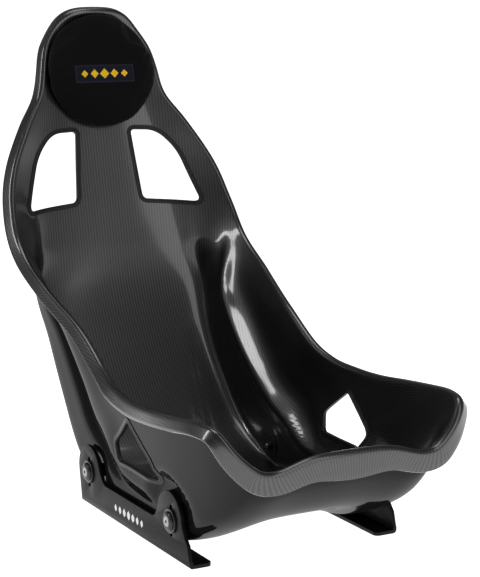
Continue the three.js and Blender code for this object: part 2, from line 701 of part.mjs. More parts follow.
function addBrackets() {
  const upright = toSolid(plateX(uprightShape(), BRACKET_X - BRACKET_T, BRACKET_X));
  const extrusion = { depth: BRACKET_T, bevelEnabled: false, curveSegments: 5 };
  const foot = new THREE.ExtrudeGeometry(footShape(), extrusion);
  const cutters = [bendCutter()];
  for (const y of [-BOLT_Y, BOLT_Y]) {
    const slot = plateX(slotShape(), BRACKET_X - BRACKET_T - 1, BRACKET_X + 1);
    slot.translate(0, y, BOLT_Z);
    cutters.push(slot);
  }
  const angle = toGeometry(upright.add(toSolid(foot)));
  const bracket = subtract(angle, ...cutters);
  for (const [name, side] of SIDES) {
    const own = bracket.clone();
    own.scale(side, 1, 1);
    addMesh(`side_bracket_${name}`, outward(weld(own)), MATERIAL.blackMetal);
  }
}

// ---- bolt stacks ----
// One stack's pieces on the right side, along +X from the shell's inside to the screw's head.
function boltStack() {
  const shellOut = PAD_X + SHELL_T;
  const plateIn = BRACKET_X - BRACKET_T;
  const washerIn = BRACKET_X + GAP;
  const cupIn = washerIn + WASHER_T + GAP;
  const cupOut = cupIn + CUP_T;
  const headIn = cupOut - HEAD_H;
  const innerWasher = PAD_X - GAP;
  const nutOut = innerWasher - INNER_WASHER_T - GAP;
  const shankEnd = nutOut - NUT_H - 2;
  const clear = SHANK_R + GAP;
  const socket = hexX(HEX_SOCKET, cupOut - HEX_DEPTH, cupOut + 1);
  const [boreFrom, boreTo] = [nutOut - NUT_H - 1, nutOut + 1];
  const nutBore = latheX([[0, boreFrom], [clear, boreFrom], [clear, boreTo], [0, boreTo]], 12);
  const screwProfile = [
    [0, shankEnd], [SHANK_R, shankEnd], [SHANK_R, headIn], [HEAD_R, cupOut], [0, cupOut],
  ];
  return {
    screw: [subtract(latheX(screwProfile), socket), MATERIAL.steel],
    cup_washer: [
      latheX([
        [clear, cupIn], [CUP_R, cupIn], [CUP_R, cupIn + 1.5], [CUP_R - 3, cupOut],
        [HEAD_R + GAP * 1.5, cupOut], [clear, headIn - GAP / 2], [clear, cupIn],
      ]),
      MATERIAL.blackMetal,
    ],
    large_washer: [ringX(WASHER_R, clear, washerIn, washerIn + WASHER_T), MATERIAL.blackMetal],
    spacer: [ringX(SPACER_R, clear, shellOut + GAP, plateIn - GAP), MATERIAL.blackMetal],
    inner_washer: [
      ringX(INNER_WASHER_R, clear, innerWasher - INNER_WASHER_T, innerWasher),
      MATERIAL.blackMetal,
    ],
    lock_nut: [subtract(hexX(NUT_FLATS, nutOut - NUT_H, nutOut), nutBore), MATERIAL.blackMetal],
  };
}

function addBoltStacks() {
  const stack = boltStack();
  for (const [sideName, side] of SIDES) {
    for (const [endName, y] of [["front", -BOLT_Y], ["rear", BOLT_Y]]) {
      for (const [piece, [geometry, material]] of Object.entries(stack)) {
        const own = geometry.clone();
        own.scale(side, 1, 1);
        const mesh = addMesh(`${endName}_${sideName}_${piece}`, outward(weld(own)), material);
        mesh.position.set(0, y, BOLT_Z);
      }
    }
  }
}

addShell();
addTrims();
addHeadPad();
addBadgeAndTapes();
addBrackets();
addBoltStacks();

// The origin is at the middle of the bounding box, on the floor.
const box = new THREE.Box3().setFromObject(seat, true);
seat.position.y = -(box.min.y + box.max.y) / 2;

export default seat;
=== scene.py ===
"""Racing bucket seat: the looks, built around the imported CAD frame.

Metres, +Z up, the occupant faces -Y. The shell's face is a lofted surface over stations from head
to front edge; the laminate, slot trims, tapes and head pad all follow it.
"""

import math
import random

import bmesh
import bpy
import numpy as np
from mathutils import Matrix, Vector
from mathutils.bvhtree import BVHTree


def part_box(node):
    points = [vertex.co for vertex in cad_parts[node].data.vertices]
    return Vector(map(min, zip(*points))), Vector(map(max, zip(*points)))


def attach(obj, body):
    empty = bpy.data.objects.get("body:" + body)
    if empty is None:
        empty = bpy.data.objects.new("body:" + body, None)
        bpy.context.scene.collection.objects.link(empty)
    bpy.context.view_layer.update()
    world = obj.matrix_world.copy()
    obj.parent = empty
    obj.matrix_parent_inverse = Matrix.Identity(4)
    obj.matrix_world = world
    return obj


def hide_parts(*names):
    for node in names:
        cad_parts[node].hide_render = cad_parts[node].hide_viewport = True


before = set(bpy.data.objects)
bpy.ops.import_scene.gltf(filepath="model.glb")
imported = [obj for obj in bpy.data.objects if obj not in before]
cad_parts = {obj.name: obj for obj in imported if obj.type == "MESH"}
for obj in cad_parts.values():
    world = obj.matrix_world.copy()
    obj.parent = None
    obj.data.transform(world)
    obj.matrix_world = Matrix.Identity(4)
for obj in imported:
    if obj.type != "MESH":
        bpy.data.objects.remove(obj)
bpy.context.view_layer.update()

MM = 0.001
SIDES = (("right", -1), ("left", 1))
ENDS = ("front", "rear")


# ---- places, from the frame ----
def middle(node):
    low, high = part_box(node)
    return (low + high) / 2


STACK_MIDDLES = {(end, name): middle(f"{end}_{name}_large_washer") for end in ENDS for name, _ in SIDES}
MID_Y = (STACK_MIDDLES["front", "left"].y + STACK_MIDDLES["rear", "left"].y) / 2
BOLT_Z = STACK_MIDDLES["rear", "left"].z / MM
BOLT_Y = (STACK_MIDDLES["rear", "left"].y - MID_Y) / MM


def to_frame(points):
    """Millimetres about the point midway between the bolts, to metres in the frame."""
    return np.asarray(points, float) * MM + np.array([0, MID_Y, 0])


# ---- camera, floor and light ----
# Fitted to the photograph. The place is in metres about the bolts' middle, the angles in degrees.
CAMERA_PLACE = Vector((-1.35784, -2.52392, 0.90195))
CAMERA_TURN, CAMERA_DOWN, CAMERA_LENS = -28.609, 10.045, 107.92
FLOOR_REACH, FLOOR_DROP = 150, 0.0005
# How grey the world is at each height of the view direction, from level to overhead.
SKY = ((0.0, 0.95), (0.09, 0.4), (0.3, 0.2), (0.75, 0.1))


def add_aimed(name, data, place, ahead):
    """Adds a camera or light that looks along ahead."""
    made = bpy.data.objects.new(name, data)
    bpy.context.scene.collection.objects.link(made)
    made.location = place
    made.rotation_mode = "QUATERNION"
    made.rotation_quaternion = ahead.to_track_quat("-Z", "Y")
    return made


def add_camera():
    data = bpy.data.cameras.new("camera")
    data.sensor_fit = "VERTICAL"
    data.sensor_height = 36
    data.lens = CAMERA_LENS
    data.clip_end = 100
    turn, down = math.radians(CAMERA_TURN), math.radians(CAMERA_DOWN)
    ahead = Vector((-math.sin(turn) * math.cos(down), math.cos(turn) * math.cos(down), -math.sin(down)))
    camera = add_aimed("camera", data, CAMERA_PLACE + Vector((0, MID_Y, 0)), ahead)
    bpy.context.scene.camera = camera


def add_softbox(name, place, aim, size, power):
    data = bpy.data.lights.new(name, "AREA")
    data.shape = "RECTANGLE"
    data.size, data.size_y = size
    data.energy = power
    add_aimed(name, data, place, Vector(aim) - Vector(place))


def add_world():
    """Bright at the horizon, like a sweep of paper, and dim overhead."""
    world = bpy.data.worlds.new("studio")
    bpy.context.scene.world = world
    world.use_nodes = True
    tree = world.node_tree
    place = tree.nodes.new("ShaderNodeTexCoord")
    axes = tree.nodes.new("ShaderNodeSeparateXYZ")
    ramp = tree.nodes.new("ShaderNodeValToRGB")
    tree.links.new(place.outputs["Generated"], axes.inputs[0])
    tree.links.new(axes.outputs["Z"], ramp.inputs[0])
    tree.links.new(ramp.outputs[0], tree.nodes["Background"].inputs["Color"])
    stops = ramp.color_ramp.elements
    for stop, (height, grey) in zip(stops, (SKY[0], SKY[-1])):
        stop.position, stop.color = height, (grey, grey, grey, 1)
    for height, grey in SKY[1:-1]:
        stops.new(height).color = (grey, grey, grey, 1)


def add_studio():
    add_world()
    add_softbox("key", place=(-2.1, 0.58, 1.8), aim=(0.18, 0.25, 0.25), size=(0.36, 1.5), power=18)
    add_softbox("front", place=(0.58, -1.95, 1.75), aim=(0, 0.4, 0.45), size=(0.9, 2.9), power=13)
    add_softbox("top", place=(0.1, 0.2, 3.0), aim=(0, 0, 0.2), size=(1.5, 1.5), power=20)
    reach = FLOOR_REACH
    floor_mesh = bpy.data.meshes.new("floor")
    floor_mesh.from_pydata(
        [(-reach, -reach, 0), (reach, -reach, 0), (reach, reach, 0), (-reach, reach, 0)], [], [(0, 1, 2, 3)]
    )
    floor = bpy.data.objects.new("floor", floor_mesh)
    bpy.context.scene.collection.objects.link(floor)
    floor.location.z = -FLOOR_DROP
    floor_mesh.materials.append(floor_material())
    bpy.context.scene.view_settings.view_transform = "Standard"


# ---- materials ----
# The weave's two tones. The lighter one is a painted sheen on the tows that lie over, mixed with a random
# strand tone.
CARBON_DARK, CARBON_LIGHT = (0.022, 0.022, 0.023), (0.085, 0.085, 0.088)


class Nodes:
    """A material's node tree, built with short calls."""

    def __init__(self, name, color, roughness, metallic=0.0, **sockets):
        self.material = bpy.data.materials.new(name)
        self.material.use_nodes = True
        self.tree = self.material.node_tree
        self.shader = self.tree.nodes["Principled BSDF"]
        self.shader.inputs["Base Color"].default_value = (*color, 1)
        self.shader.inputs["Roughness"].default_value = roughness
        self.shader.inputs["Metallic"].default_value = metallic
        for socket, value in sockets.items():
            self.shader.inputs[socket.replace("_", " ")].default_value = value

    def node(self, kind, inputs=None, **attributes):
        made = self.tree.nodes.new(kind)
        for attribute, value in attributes.items():
            setattr(made, attribute, value)
        for key, value in (inputs or {}).items():
            self.set(made.inputs[key], value)
        return made

    def set(self, socket, value):
        if isinstance(value, bpy.types.NodeSocket):
            self.tree.links.new(value, socket)
        else:
            socket.default_value = value

    def math(self, operation, *values):
        made = self.node("ShaderNodeMath", operation=operation)
        for socket, value in zip(made.inputs, values):
            self.set(socket, value)
        return made.outputs[0]

    def noise(self, scale, detail):
        made = self.node("ShaderNodeTexNoise", {"Scale": scale, "Detail": detail, "Vector": self.place()})
        return made.outputs["Fac"]

    def place(self):
        return self.node("ShaderNodeTexCoord").outputs["Object"]

    def spread(self, value, low, high):
        """value, 0 to 1, spread over low to high."""
        made = self.node("ShaderNodeMapRange", {"Value": value, "To Min": low, "To Max": high})
        return made.outputs["Result"]

    def color(self, factor, low, high):
        ramp = self.node("ShaderNodeMix", data_type="RGBA")
        self.set(ramp.inputs["Factor"], factor)
        ramp.inputs[6].default_value = (*low, 1)
        ramp.inputs[7].default_value = (*high, 1)
        self.set(self.shader.inputs["Base Color"], ramp.outputs[2])

    def roughness(self, factor, low, high):
        self.set(self.shader.inputs["Roughness"], self.spread(factor, low, high))

    def bump(self, height, distance, strength=1.0):
        made = self.node("ShaderNodeBump", {"Height": height, "Distance": distance, "Strength": strength})
        self.set(self.shader.inputs["Normal"], made.outputs["Normal"])


def floor_material():
    """Pale paper on a light table."""
    nodes = Nodes("studio_floor", (0.86, 0.86, 0.86), 0.75, Specular_IOR_Level=0.1)
    nodes.shader.inputs["Emission Color"].default_value = (1, 1, 1, 1)
    nodes.shader.inputs["Emission Strength"].default_value = 1.15
    nodes.color(nodes.noise(3, 3), (0.85, 0.85, 0.85), (0.88, 0.88, 0.88))
    return nodes.material


def carbon_material():
    """2x2 twill laid on the bias under a clear coat, so its ridges run along the seat. The map
    holds metres across and along the shell's face."""
    nodes = Nodes(
        "carbon_twill", (0.05, 0.05, 0.052), 0.4, 1.0,
        Specular_IOR_Level=0.0, Coat_Weight=1.0, Coat_Roughness=0.1,
    )
    tow = 0.002
    mapped = nodes.node("ShaderNodeUVMap", uv_map="weave").outputs["UV"]
    axes = nodes.node("ShaderNodeSeparateXYZ", {"Vector": mapped})
    across, along = axes.outputs["X"], axes.outputs["Y"]
    turn = math.sqrt(0.5) / tow
    warp = nodes.math("MULTIPLY", nodes.math("ADD", across, along), turn)
    weft = nodes.math("MULTIPLY", nodes.math("SUBTRACT", across, along), turn)
    cells = nodes.math("ADD", nodes.math("FLOOR", warp), nodes.math("FLOOR", weft))
    over = nodes.math("LESS_THAN", nodes.math("FLOORED_MODULO", cells, 4.0), 1.5)
    mix = nodes.node("ShaderNodeMix", {"Factor": over}, data_type="FLOAT")
    for socket, value in ((2, weft), (3, warp)):
        from_middle = nodes.math("SUBTRACT", nodes.math("FRACT", value), 0.5)
        twice = nodes.math("MULTIPLY", nodes.math("ABSOLUTE", from_middle), 2.0)
        nodes.set(mix.inputs[socket], nodes.math("SUBTRACT", 1.0, twice))
    rise = nodes.math("PINGPONG", nodes.math("ADD", warp, weft), 2.0)
    crown = nodes.math("MULTIPLY", mix.outputs[0], 0.4)
    relief = nodes.math("ADD", crown, nodes.math("MULTIPLY", rise, 0.25))
    strands = nodes.noise(1400, 1)
    # The tows that lie over are painted lighter than the rest. This painted sheen stands in for the
    # reflection that changes with the tows' direction. The strand noise adds a random tone.
    tone = nodes.math("ADD", nodes.math("MULTIPLY", over, 0.4), nodes.math("MULTIPLY", strands, 0.5))
    nodes.color(tone, CARBON_DARK, CARBON_LIGHT)
    nodes.roughness(nodes.noise(9, 3), 0.34, 0.44)
    nodes.bump(relief, 0.0001, 0.5)
    return nodes.material


def velour_material():
    nodes = Nodes(
        "velour", (0.003, 0.003, 0.0035), 0.95, 0.0,
        Specular_IOR_Level=0.05, Sheen_Weight=0.05, Sheen_Roughness=0.45,
    )
    pile = nodes.noise(1600, 4)
    brushed = nodes.noise(28, 3)
    tone = nodes.math("MULTIPLY", pile, nodes.spread(brushed, 0.7, 1.3))
    nodes.color(tone, (0.0015, 0.0015, 0.0018), (0.006, 0.006, 0.0068))
    nodes.roughness(brushed, 0.85, 1.0)
    nodes.bump(nodes.math("ADD", pile, nodes.math("MULTIPLY", brushed, 2.0)), 0.0005, 0.5)
    return nodes.material


def tape_material(name, scale):
    nodes = Nodes(name, (0.012, 0.012, 0.012), 0.9, 0.0, Sheen_Weight=0.3)
    fuzz = nodes.node("ShaderNodeTexVoronoi", {"Scale": scale, "Vector": nodes.place()}).outputs["Distance"]
    nodes.color(fuzz, (0.022, 0.022, 0.022), (0.006, 0.006, 0.006))
    nodes.roughness(nodes.noise(300, 2), 0.8, 1.0)
    nodes.bump(fuzz, 0.0008, 0.7)
    return nodes.material


def woven_material(name, dark, light, scale):
    """Patch cloth or satin stitch, with fine parallel threads."""
    nodes = Nodes(name, light, 0.8, 0.0, Specular_IOR_Level=0.1, Sheen_Weight=0.03)
    inputs = {"Scale": scale / 6.3, "Distortion": 1.2, "Detail Scale": 2.0, "Vector": nodes.place()}
    threads = nodes.node("ShaderNodeTexWave", inputs, bands_direction="DIAGONAL").outputs["Fac"]
    nodes.color(threads, dark, light)
    nodes.roughness(threads, 0.55, 0.8)
    nodes.bump(threads, 0.0003, 0.6)
    return nodes.material


def grained(name, base, tint, wear, relief=None, **sockets):
    """A look made of noises, each given by scale and detail: the tint from dark to light, the
    roughness from low to high, and a relief by its distance and strength."""
    nodes = Nodes(name, *base, **sockets)
    nodes.color(nodes.noise(*tint[:2]), *tint[2:])
    nodes.roughness(nodes.noise(*wear[:2]), *wear[2:])
    if relief:
        nodes.bump(nodes.noise(*relief[:2]), *relief[2:])
    return nodes.material


CARBON = carbon_material()
GELCOAT = grained(
    "black_gelcoat", ((0.006, 0.006, 0.0065), 0.3),
    (60, 3, (0.004, 0.004, 0.0045), (0.008, 0.008, 0.0085)), (40, 4, 0.22, 0.4), (14, 2, 0.0006, 0.25),
    Specular_IOR_Level=0.0, Coat_Weight=0.3, Coat_Roughness=0.05,
)
RUBBER = grained(
    "edge_rubber", ((0.006, 0.006, 0.006), 0.45),
    (45, 3, (0.004, 0.004, 0.004), (0.009, 0.009, 0.009)), (900, 3, 0.34, 0.5), (900, 3, 0.0002, 0.25),
    Specular_IOR_Level=0.3,
)
VELOUR = velour_material()
THREAD = grained(
    "black_thread", ((0.008, 0.008, 0.008), 0.6),
    (1100, 2, (0.005, 0.005, 0.005), (0.013, 0.013, 0.014)), (1100, 2, 0.5, 0.75),
    (1100, 2, 0.0003, 0.5), Sheen_Weight=0.1,
)
HOOKS = tape_material("hook_tape", 900)
LOOPS = tape_material("loop_tape", 500)
PATCH = woven_material("patch_cloth", (0.002, 0.0022, 0.006), (0.006, 0.0065, 0.017), 1500)
YELLOW = woven_material("yellow_thread", (0.55, 0.33, 0.01), (0.85, 0.55, 0.02), 2400)
POWDER = grained(
    "black_powder_coat", ((0.006, 0.006, 0.0065), 0.45),
    (20, 4, (0.004, 0.004, 0.0045), (0.008, 0.008, 0.0085)), (60, 3, 0.36, 0.5), (420, 3, 0.00025, 0.35),
    Specular_IOR_Level=0.15,
)
ANODISED = grained(
    "black_anodised", ((0.02, 0.02, 0.021), 0.3, 0.35),
    (120, 2, (0.014, 0.014, 0.015), (0.028, 0.028, 0.029)), (1800, 1, 0.24, 0.4), (1800, 1, 0.00012, 0.3),
)
STEEL = grained(
    "zinc_steel", ((0.3, 0.3, 0.3), 0.4, 1.0),
    (90, 3, (0.24, 0.24, 0.24), (0.38, 0.38, 0.37)), (900, 4, 0.28, 0.5), (900, 4, 0.0001, 0.3),
)
NYLON = grained(
    "nylon_ring", ((0.03, 0.06, 0.16), 0.5),
    (300, 2, (0.025, 0.05, 0.13), (0.035, 0.075, 0.19)), (500, 2, 0.4, 0.6),
)
INK = grained(
    "printed_mark", ((0.75, 0.75, 0.74), 0.5),
    (700, 4, (0.6, 0.6, 0.6), (0.82, 0.82, 0.81)), (700, 4, 0.4, 0.6), (700, 4, 0.0001, 0.3),
)


# ---- meshes ----
WELD_GRID = 1e-6


def points_of(piece):
    return np.array([v.co for v in piece.data.vertices])


def bezier(start, control, end, t):
    return (1 - t) ** 2 * start + 2 * t * (1 - t) * control + t * t * end


def mesh_object(name, verts, faces):
    """A mesh object with its faces turned outwards."""
    mesh = bpy.data.meshes.new(name)
    mesh.from_pydata([tuple(v) for v in verts], [], [tuple(f) for f in faces])
    made = bpy.data.objects.new(name, mesh)
    bpy.context.scene.collection.objects.link(made)
    work = bmesh.new()
    work.from_mesh(mesh)
    bmesh.ops.recalc_face_normals(work, faces=work.faces)
    work.to_mesh(mesh)
    work.free()
    return made


def shade(mesh, sharp):
    """Smooth shading, apart from edges that turn by more than sharp degrees."""
    mesh.polygons.foreach_set("use_smooth", [True] * len(mesh.polygons))
    mesh.set_sharp_from_angle(angle=math.radians(sharp))


def add_piece(name, verts, faces, materials, body, slot, stands_for=(), face_materials=None, sharp=32):
    piece = mesh_object(name, verts, faces)
    for material in materials if isinstance(materials, list) else [materials]:
        piece.data.materials.append(material)
    if face_materials is not None:
        piece.data.polygons.foreach_set("material_index", face_materials)
    shade(piece.data, sharp)
    settle(piece, body, stands_for)


def settle(piece, body, stands_for=()):
    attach(piece, body)
    if stands_for:
        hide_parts(*stands_for)


def loft(rows, closed=False):
    """Vertices and quads of rows of equal length, each row a closed loop. closed joins the last
    row to the first."""
    count = len(rows[0])
    verts = np.concatenate(rows)
    faces = []
    for row in range(len(rows) - (0 if closed else 1)):
        ahead = (row + 1) % len(rows)
        for i in range(count):
            j = (i + 1) % count
            faces.append((row * count + i, row * count + j, ahead * count + j, ahead * count + i))
    return verts, faces


def weld(verts, faces, marks=None):
    """Vertices that lie together become one, and faces that collapse are dropped."""
    keys = np.round(np.asarray(verts) / WELD_GRID).astype(np.int64)
    _, first, inverse = np.unique(keys, axis=0, return_index=True, return_inverse=True)
    inverse = inverse.reshape(-1)
    kept, kept_marks = [], []
    for n, face in enumerate(faces):
        loop = []
        for v in inverse[list(face)]:
            if v not in loop:
                loop.append(int(v))
        if len(loop) > 2:
            kept.append(loop)
            kept_marks.append(0 if marks is None else marks[n])
    return np.asarray(verts)[first], kept, first, kept_marks


def lathe(profile, segments=48):
    """Closed solid turned about X from a closed profile of (x, radius)."""
    rows = []
    for k in range(segments):
        a = 2 * math.pi * k / segments
        rows.append(np.array([(x, r * math.cos(a), r * math.sin(a)) for x, r in profile]))
    return weld(*loft(rows, closed=True))[:2]


def run_lengths(steps):
    return np.concatenate([[0], np.cumsum(steps)])


def resample(path, lengths, wanted):
    return np.stack([np.interp(wanted, lengths, path[:, k]) for k in (0, 1)], -1)


def rounded_profile(points, radius, steps=3):
    """A closed profile with its corners rounded, apart from those on the axis."""
    result = []
    for i, p in enumerate(points):
        before, after = np.array(points[i - 1]), np.array(points[(i + 1) % len(points)])
        p = np.array(p, float)
        back, on = before - p, after - p
        reach = min(radius, 0.45 * np.linalg.norm(back), 0.45 * np.linalg.norm(on))
        if p[1] < 1e-6 or reach < 1e-6:
            result.append(tuple(p))
            continue
        start = p + back / np.linalg.norm(back) * reach
        end = p + on / np.linalg.norm(on) * reach
        for k in range(steps + 1):
            t = k / steps
            result.append(tuple(bezier(start, p, end, t)))
    return result


def apply_modifiers(piece):
    bpy.context.view_layer.update()
    evaluated = piece.evaluated_get(bpy.context.evaluated_depsgraph_get())
    baked = bpy.data.meshes.new_from_object(evaluated)
    old = piece.data
    piece.modifiers.clear()
    piece.data = baked
    bpy.data.meshes.remove(old)


def combine(piece, operation, tools):
    """Joins or cuts a mesh object with others, and removes those."""
    for tool in tools:
        modifier = piece.modifiers.new("combine", "BOOLEAN")
        modifier.operation = operation
        modifier.solver = "EXACT"
        modifier.object = tool
    apply_modifiers(piece)
    for tool in tools:
        bpy.data.meshes.remove(tool.data)


# ---- the shell's face ----
# Head to front edge, in millimetres about the bolts' middle. Columns: the face on the middle plane
# (y, z), where the side wall ends (x, y, z), how square the section is, degrees that the rim rolls
# over, length of its flange, depth of the two leg grooves.
STATIONS = np.array([
    [541, 844, 94, 541, 844, 0, 95, 10, 0],
    [549, 815, 101, 542, 815, 0, 95, 10, 0],
    [547, 780, 107, 533, 780, 0, 92, 11, 0],
    [538, 734, 112, 521, 734, 0, 90, 11, 0],
    [527, 683, 125, 510, 686, 0, 90, 13, 0],
    [515, 630, 160, 486, 632, 0, 92, 15, 0],
    [500, 560, 200, 453, 557, 0.02, 95, 15, 0],
    [484, 490, 217, 420, 490, 0.1, 97, 15, 0],
    [468, 415, 221, 370, 424, 0.4, 105, 14, 0],
    [450, 335, 216, 279, 371, 0.8, 120, 13, 0],
    [406, 252, 201, 163, 316, 0.95, 132, 14, 0],
    [345, 165, 199, 72, 265, 1, 140, 15, 0],
    [255, 72, 206, 12, 243, 1, 145, 15, 0],
    [150, 30, 214, -55, 237, 1, 150, 15, 0],
    [30, 29, 219, -120, 238, 1, 150, 15, 4],
    [-80, 38, 223, -190, 245, 1, 150, 15, 14],
    [-165, 50, 222, -255, 252, 1, 145, 15, 20],
    [-275, 86, 218, -316, 257, 0.85, 132, 14, 9],
    [-345, 142, 209, -362, 255, 0.7, 124, 16, 12],
    [-378, 204, 202, -388, 250, 0.6, 150, 26, 18],
], float)
LAST = len(STATIONS) - 1
BACK_SECTION = np.array([(0, 0), (0.2, 0), (0.42, 0.03), (0.62, 0.17), (0.78, 0.42), (0.9, 0.72), (1, 1)])
TUB_SECTION = np.array([(0, 0), (0.35, 0), (0.68, -0.01), (0.87, 0), (0.835, 0.26), (0.925, 0.62), (1, 1)])
SHELL_T = 4
ROLL_R = 8
# Points along half the outline, and rows over the face, the rolled rim and the flange.
HALF_COUNT, FACE_ROWS, ROLL_ROWS, LIP_ROWS = 220, 72, 8, 4
# A radian of bend in the outline counts as this many millimetres when its points are spaced.
BEND_LENGTH = 60
BOLT_HOLE_R = 4.7
HEAD_ROUND, FRONT_ROUND, FRONT_SQUARENESS = 3, 17.4, 3.4
SPINE_TOP, SPINE_END = 3.2, 16.8
GROOVE_X, GROOVE_W = 138, 50
PAD_X, WALL_X = 173, 180
RIDGE, DISH = 15, 7
EAR_R, EAR_Z, REAR_EAR_Y, FRONT_EAR_Y, WAIST_Z = 43, 65, 162, -152, 52


def smooth(value, low, high):
    t = np.clip((value - low) / (high - low), 0, 1)
    return t * t * (3 - 2 * t)


def station_values(s):
    """All columns at stations s, by Catmull-Rom."""
    s = np.asarray(s, float)
    i = np.clip(np.floor(s).astype(int), 0, LAST - 1)
    t = (s - i)[..., None]
    p1, p2 = STATIONS[i], STATIONS[i + 1]
    p0 = np.where((i > 0)[..., None], STATIONS[np.maximum(i - 1, 0)], 2 * p1 - p2)
    p3 = np.where((i < LAST - 1)[..., None], STATIONS[np.minimum(i + 2, LAST)], 2 * p2 - p1)
    return 0.5 * (2 * p1 + (p2 - p0) * t + (2 * p0 - 5 * p1 + 4 * p2 - p3) * t ** 2
                  + (3 * p1 - p0 - 3 * p2 + p3) * t ** 3)


def spline_weights(v):
    """Weights of the seven control points of a clamped uniform cubic B-spline at v."""
    spans = len(TUB_SECTION) - 3
    knots = [0] * 3 + [k / spans for k in range(spans + 1)] + [1] * 3
    u = np.minimum(np.asarray(v, float), 1 - 1e-9)
    weights = [((u >= knots[i]) & (u < knots[i + 1])).astype(float) for i in range(len(knots) - 1)]
    for degree in range(1, 4):
        raised = []
        for i in range(len(weights) - 1):
            left, right = knots[i + degree] - knots[i], knots[i + degree + 1] - knots[i + 1]
            value = (u - knots[i]) / left * weights[i] if left > 0 else 0
            value = value + ((knots[i + degree + 1] - u) / right * weights[i + 1] if right > 0 else 0)
            raised.append(value)
        weights = raised
    return np.stack(weights, -1)


def tucked_in(x, y, z):
    """The side walls stand in between the brackets, and are flat around the bolts."""
    ear_y = np.where(y < 0, FRONT_EAR_Y, REAR_EAR_Y)
    from_bracket = np.minimum(np.hypot(y - ear_y, z - EAR_Z) - EAR_R, z - WAIST_Z)
    over = x - WALL_X
    x = x - (1 - smooth(from_bracket, 11, 42)) * 0.5 * (over + np.hypot(over, 4))
    flat = 1 - smooth(np.hypot(np.abs(y) - BOLT_Y, z - BOLT_Z), 26, 50)
    return x + (PAD_X - x) * flat * smooth(x, 130, 165)


def ridge(s, v):
    """The bolsters' inner ridge and the shallow dish between it and the rim: how far inboard."""
    line = 0.8 + 0.16 * (1 - smooth(s, 7.6, 9.6)) - 0.13 * smooth(s, 12.2, 14.2)
    fade = smooth(s, 7.7, 9.6) * (1 - smooth(s, 12.8, 14.6)) * (1 - smooth(v, 0.92, 1))
    raised = RIDGE * np.exp(-((v - line) / 0.04) ** 2)
    sunk = DISH * smooth(s, 8.8, 10.4) * np.exp(-((v - line - 0.1) / 0.05) ** 2)
    return fade * (raised - sunk)


def face(s, v):
    """Points of the face at stations s and section parameters v, -1 right wall to 1 left wall."""
    s, v = np.broadcast_arrays(np.asarray(s, float), np.asarray(v, float))
    back_y, back_z, rim_x, rim_y, rim_z, tub, _, _, groove = np.moveaxis(station_values(s), -1, 0)
    weights = spline_weights(np.abs(v))
    section = (weights @ BACK_SECTION) * (1 - tub)[..., None] + (weights @ TUB_SECTION) * tub[..., None]
    across, up = section[..., 0], section[..., 1]
    x = across * rim_x - ridge(s, np.abs(v))
    y = back_y + (rim_y - back_y) * up
    z = back_z + (rim_z - back_z) * up
    z = z - groove * np.exp(-((x - GROOVE_X) / GROOVE_W) ** 2)
    return np.stack([np.sign(v) * tucked_in(x, y, z), y, z], -1)


def unit(vectors):
    return vectors / np.maximum(np.linalg.norm(vectors, axis=-1, keepdims=True), 1e-12)


def face_normal(s, v):
    step = 1e-3
    s, v = np.broadcast_arrays(np.asarray(s, float), np.asarray(v, float))
    along = face(np.minimum(s + step, LAST), v) - face(np.maximum(s - step, 0), v)
    across = face(s, np.minimum(v + step, 1)) - face(s, np.maximum(v - step, -1))
    return unit(np.cross(along, across))


def locate(axes, targets, start):
    """Parameters of the face where two of its coordinates have the given values."""
    goal = np.asarray(targets, float)
    s, v = (np.full(len(goal), float(value)) for value in start)
    step = 1e-4
    pick = list(axes)
    for _ in range(40):
        here = face(s, v)[:, pick]
        by_s = (face(s + step, v)[:, pick] - here) / step
        by_v = (face(s, v + step)[:, pick] - here) / step
        miss = goal - here
        det = by_s[:, 0] * by_v[:, 1] - by_v[:, 0] * by_s[:, 1]
        s = s + np.clip((miss[:, 0] * by_v[:, 1] - miss[:, 1] * by_v[:, 0]) / det, -0.5, 0.5)
        v = v + np.clip((miss[:, 1] * by_s[:, 0] - miss[:, 0] * by_s[:, 1]) / det, -0.1, 0.1)
        s = np.clip(s, 0, LAST - 0.01)
        v = np.clip(v, 0, 0.999)
    return s, v


def on_back(points):
    """Face parameters at (x, z); x may be negative."""
    points = np.asarray(points, float)
    sign = np.where(points[:, 0] < 0, -1, 1)
    s, v = locate((0, 2), np.stack([np.maximum(np.abs(points[:, 0]), 0.01), points[:, 1]], -1), (6, 0.5))
    return s, sign * v


def on_wall(points):
    """Face parameters of the left wall at (y, z)."""
    return locate((1, 2), points, (13, 0.85))


# ---- the laminate ----
def outline():
    """Parameters of evenly spaced points around the shell's outline."""
    a = np.linspace(0, math.pi / 2, 500)
    power = 2 / FRONT_SQUARENESS
    head = np.stack([HEAD_ROUND * (1 - np.cos(a)), np.sin(a)], -1)
    sides = np.stack([np.linspace(HEAD_ROUND, FRONT_ROUND, 1200)[1:-1], np.ones(1198)], -1)
    front = np.stack([FRONT_ROUND + (LAST - FRONT_ROUND) * np.sin(a) ** power, np.cos(a) ** power], -1)
    points = np.concatenate([head, sides, front])
    steps = np.diff(face(points[:, 0], points[:, 1]), axis=0)
    bends = np.arccos(np.clip((unit(steps[1:]) * unit(steps[:-1])).sum(-1), -1, 1))
    spent = np.linalg.norm(steps, axis=1) + BEND_LENGTH * np.concatenate([[0], bends])
    lengths = run_lengths(spent)
    half = resample(points, lengths, np.linspace(0, lengths[-1], HALF_COUNT + 1))
    half[0, 1] = half[-1, 1] = 0
    other = half[1:-1][::-1] * [1, -1]
    return np.concatenate([half, other])


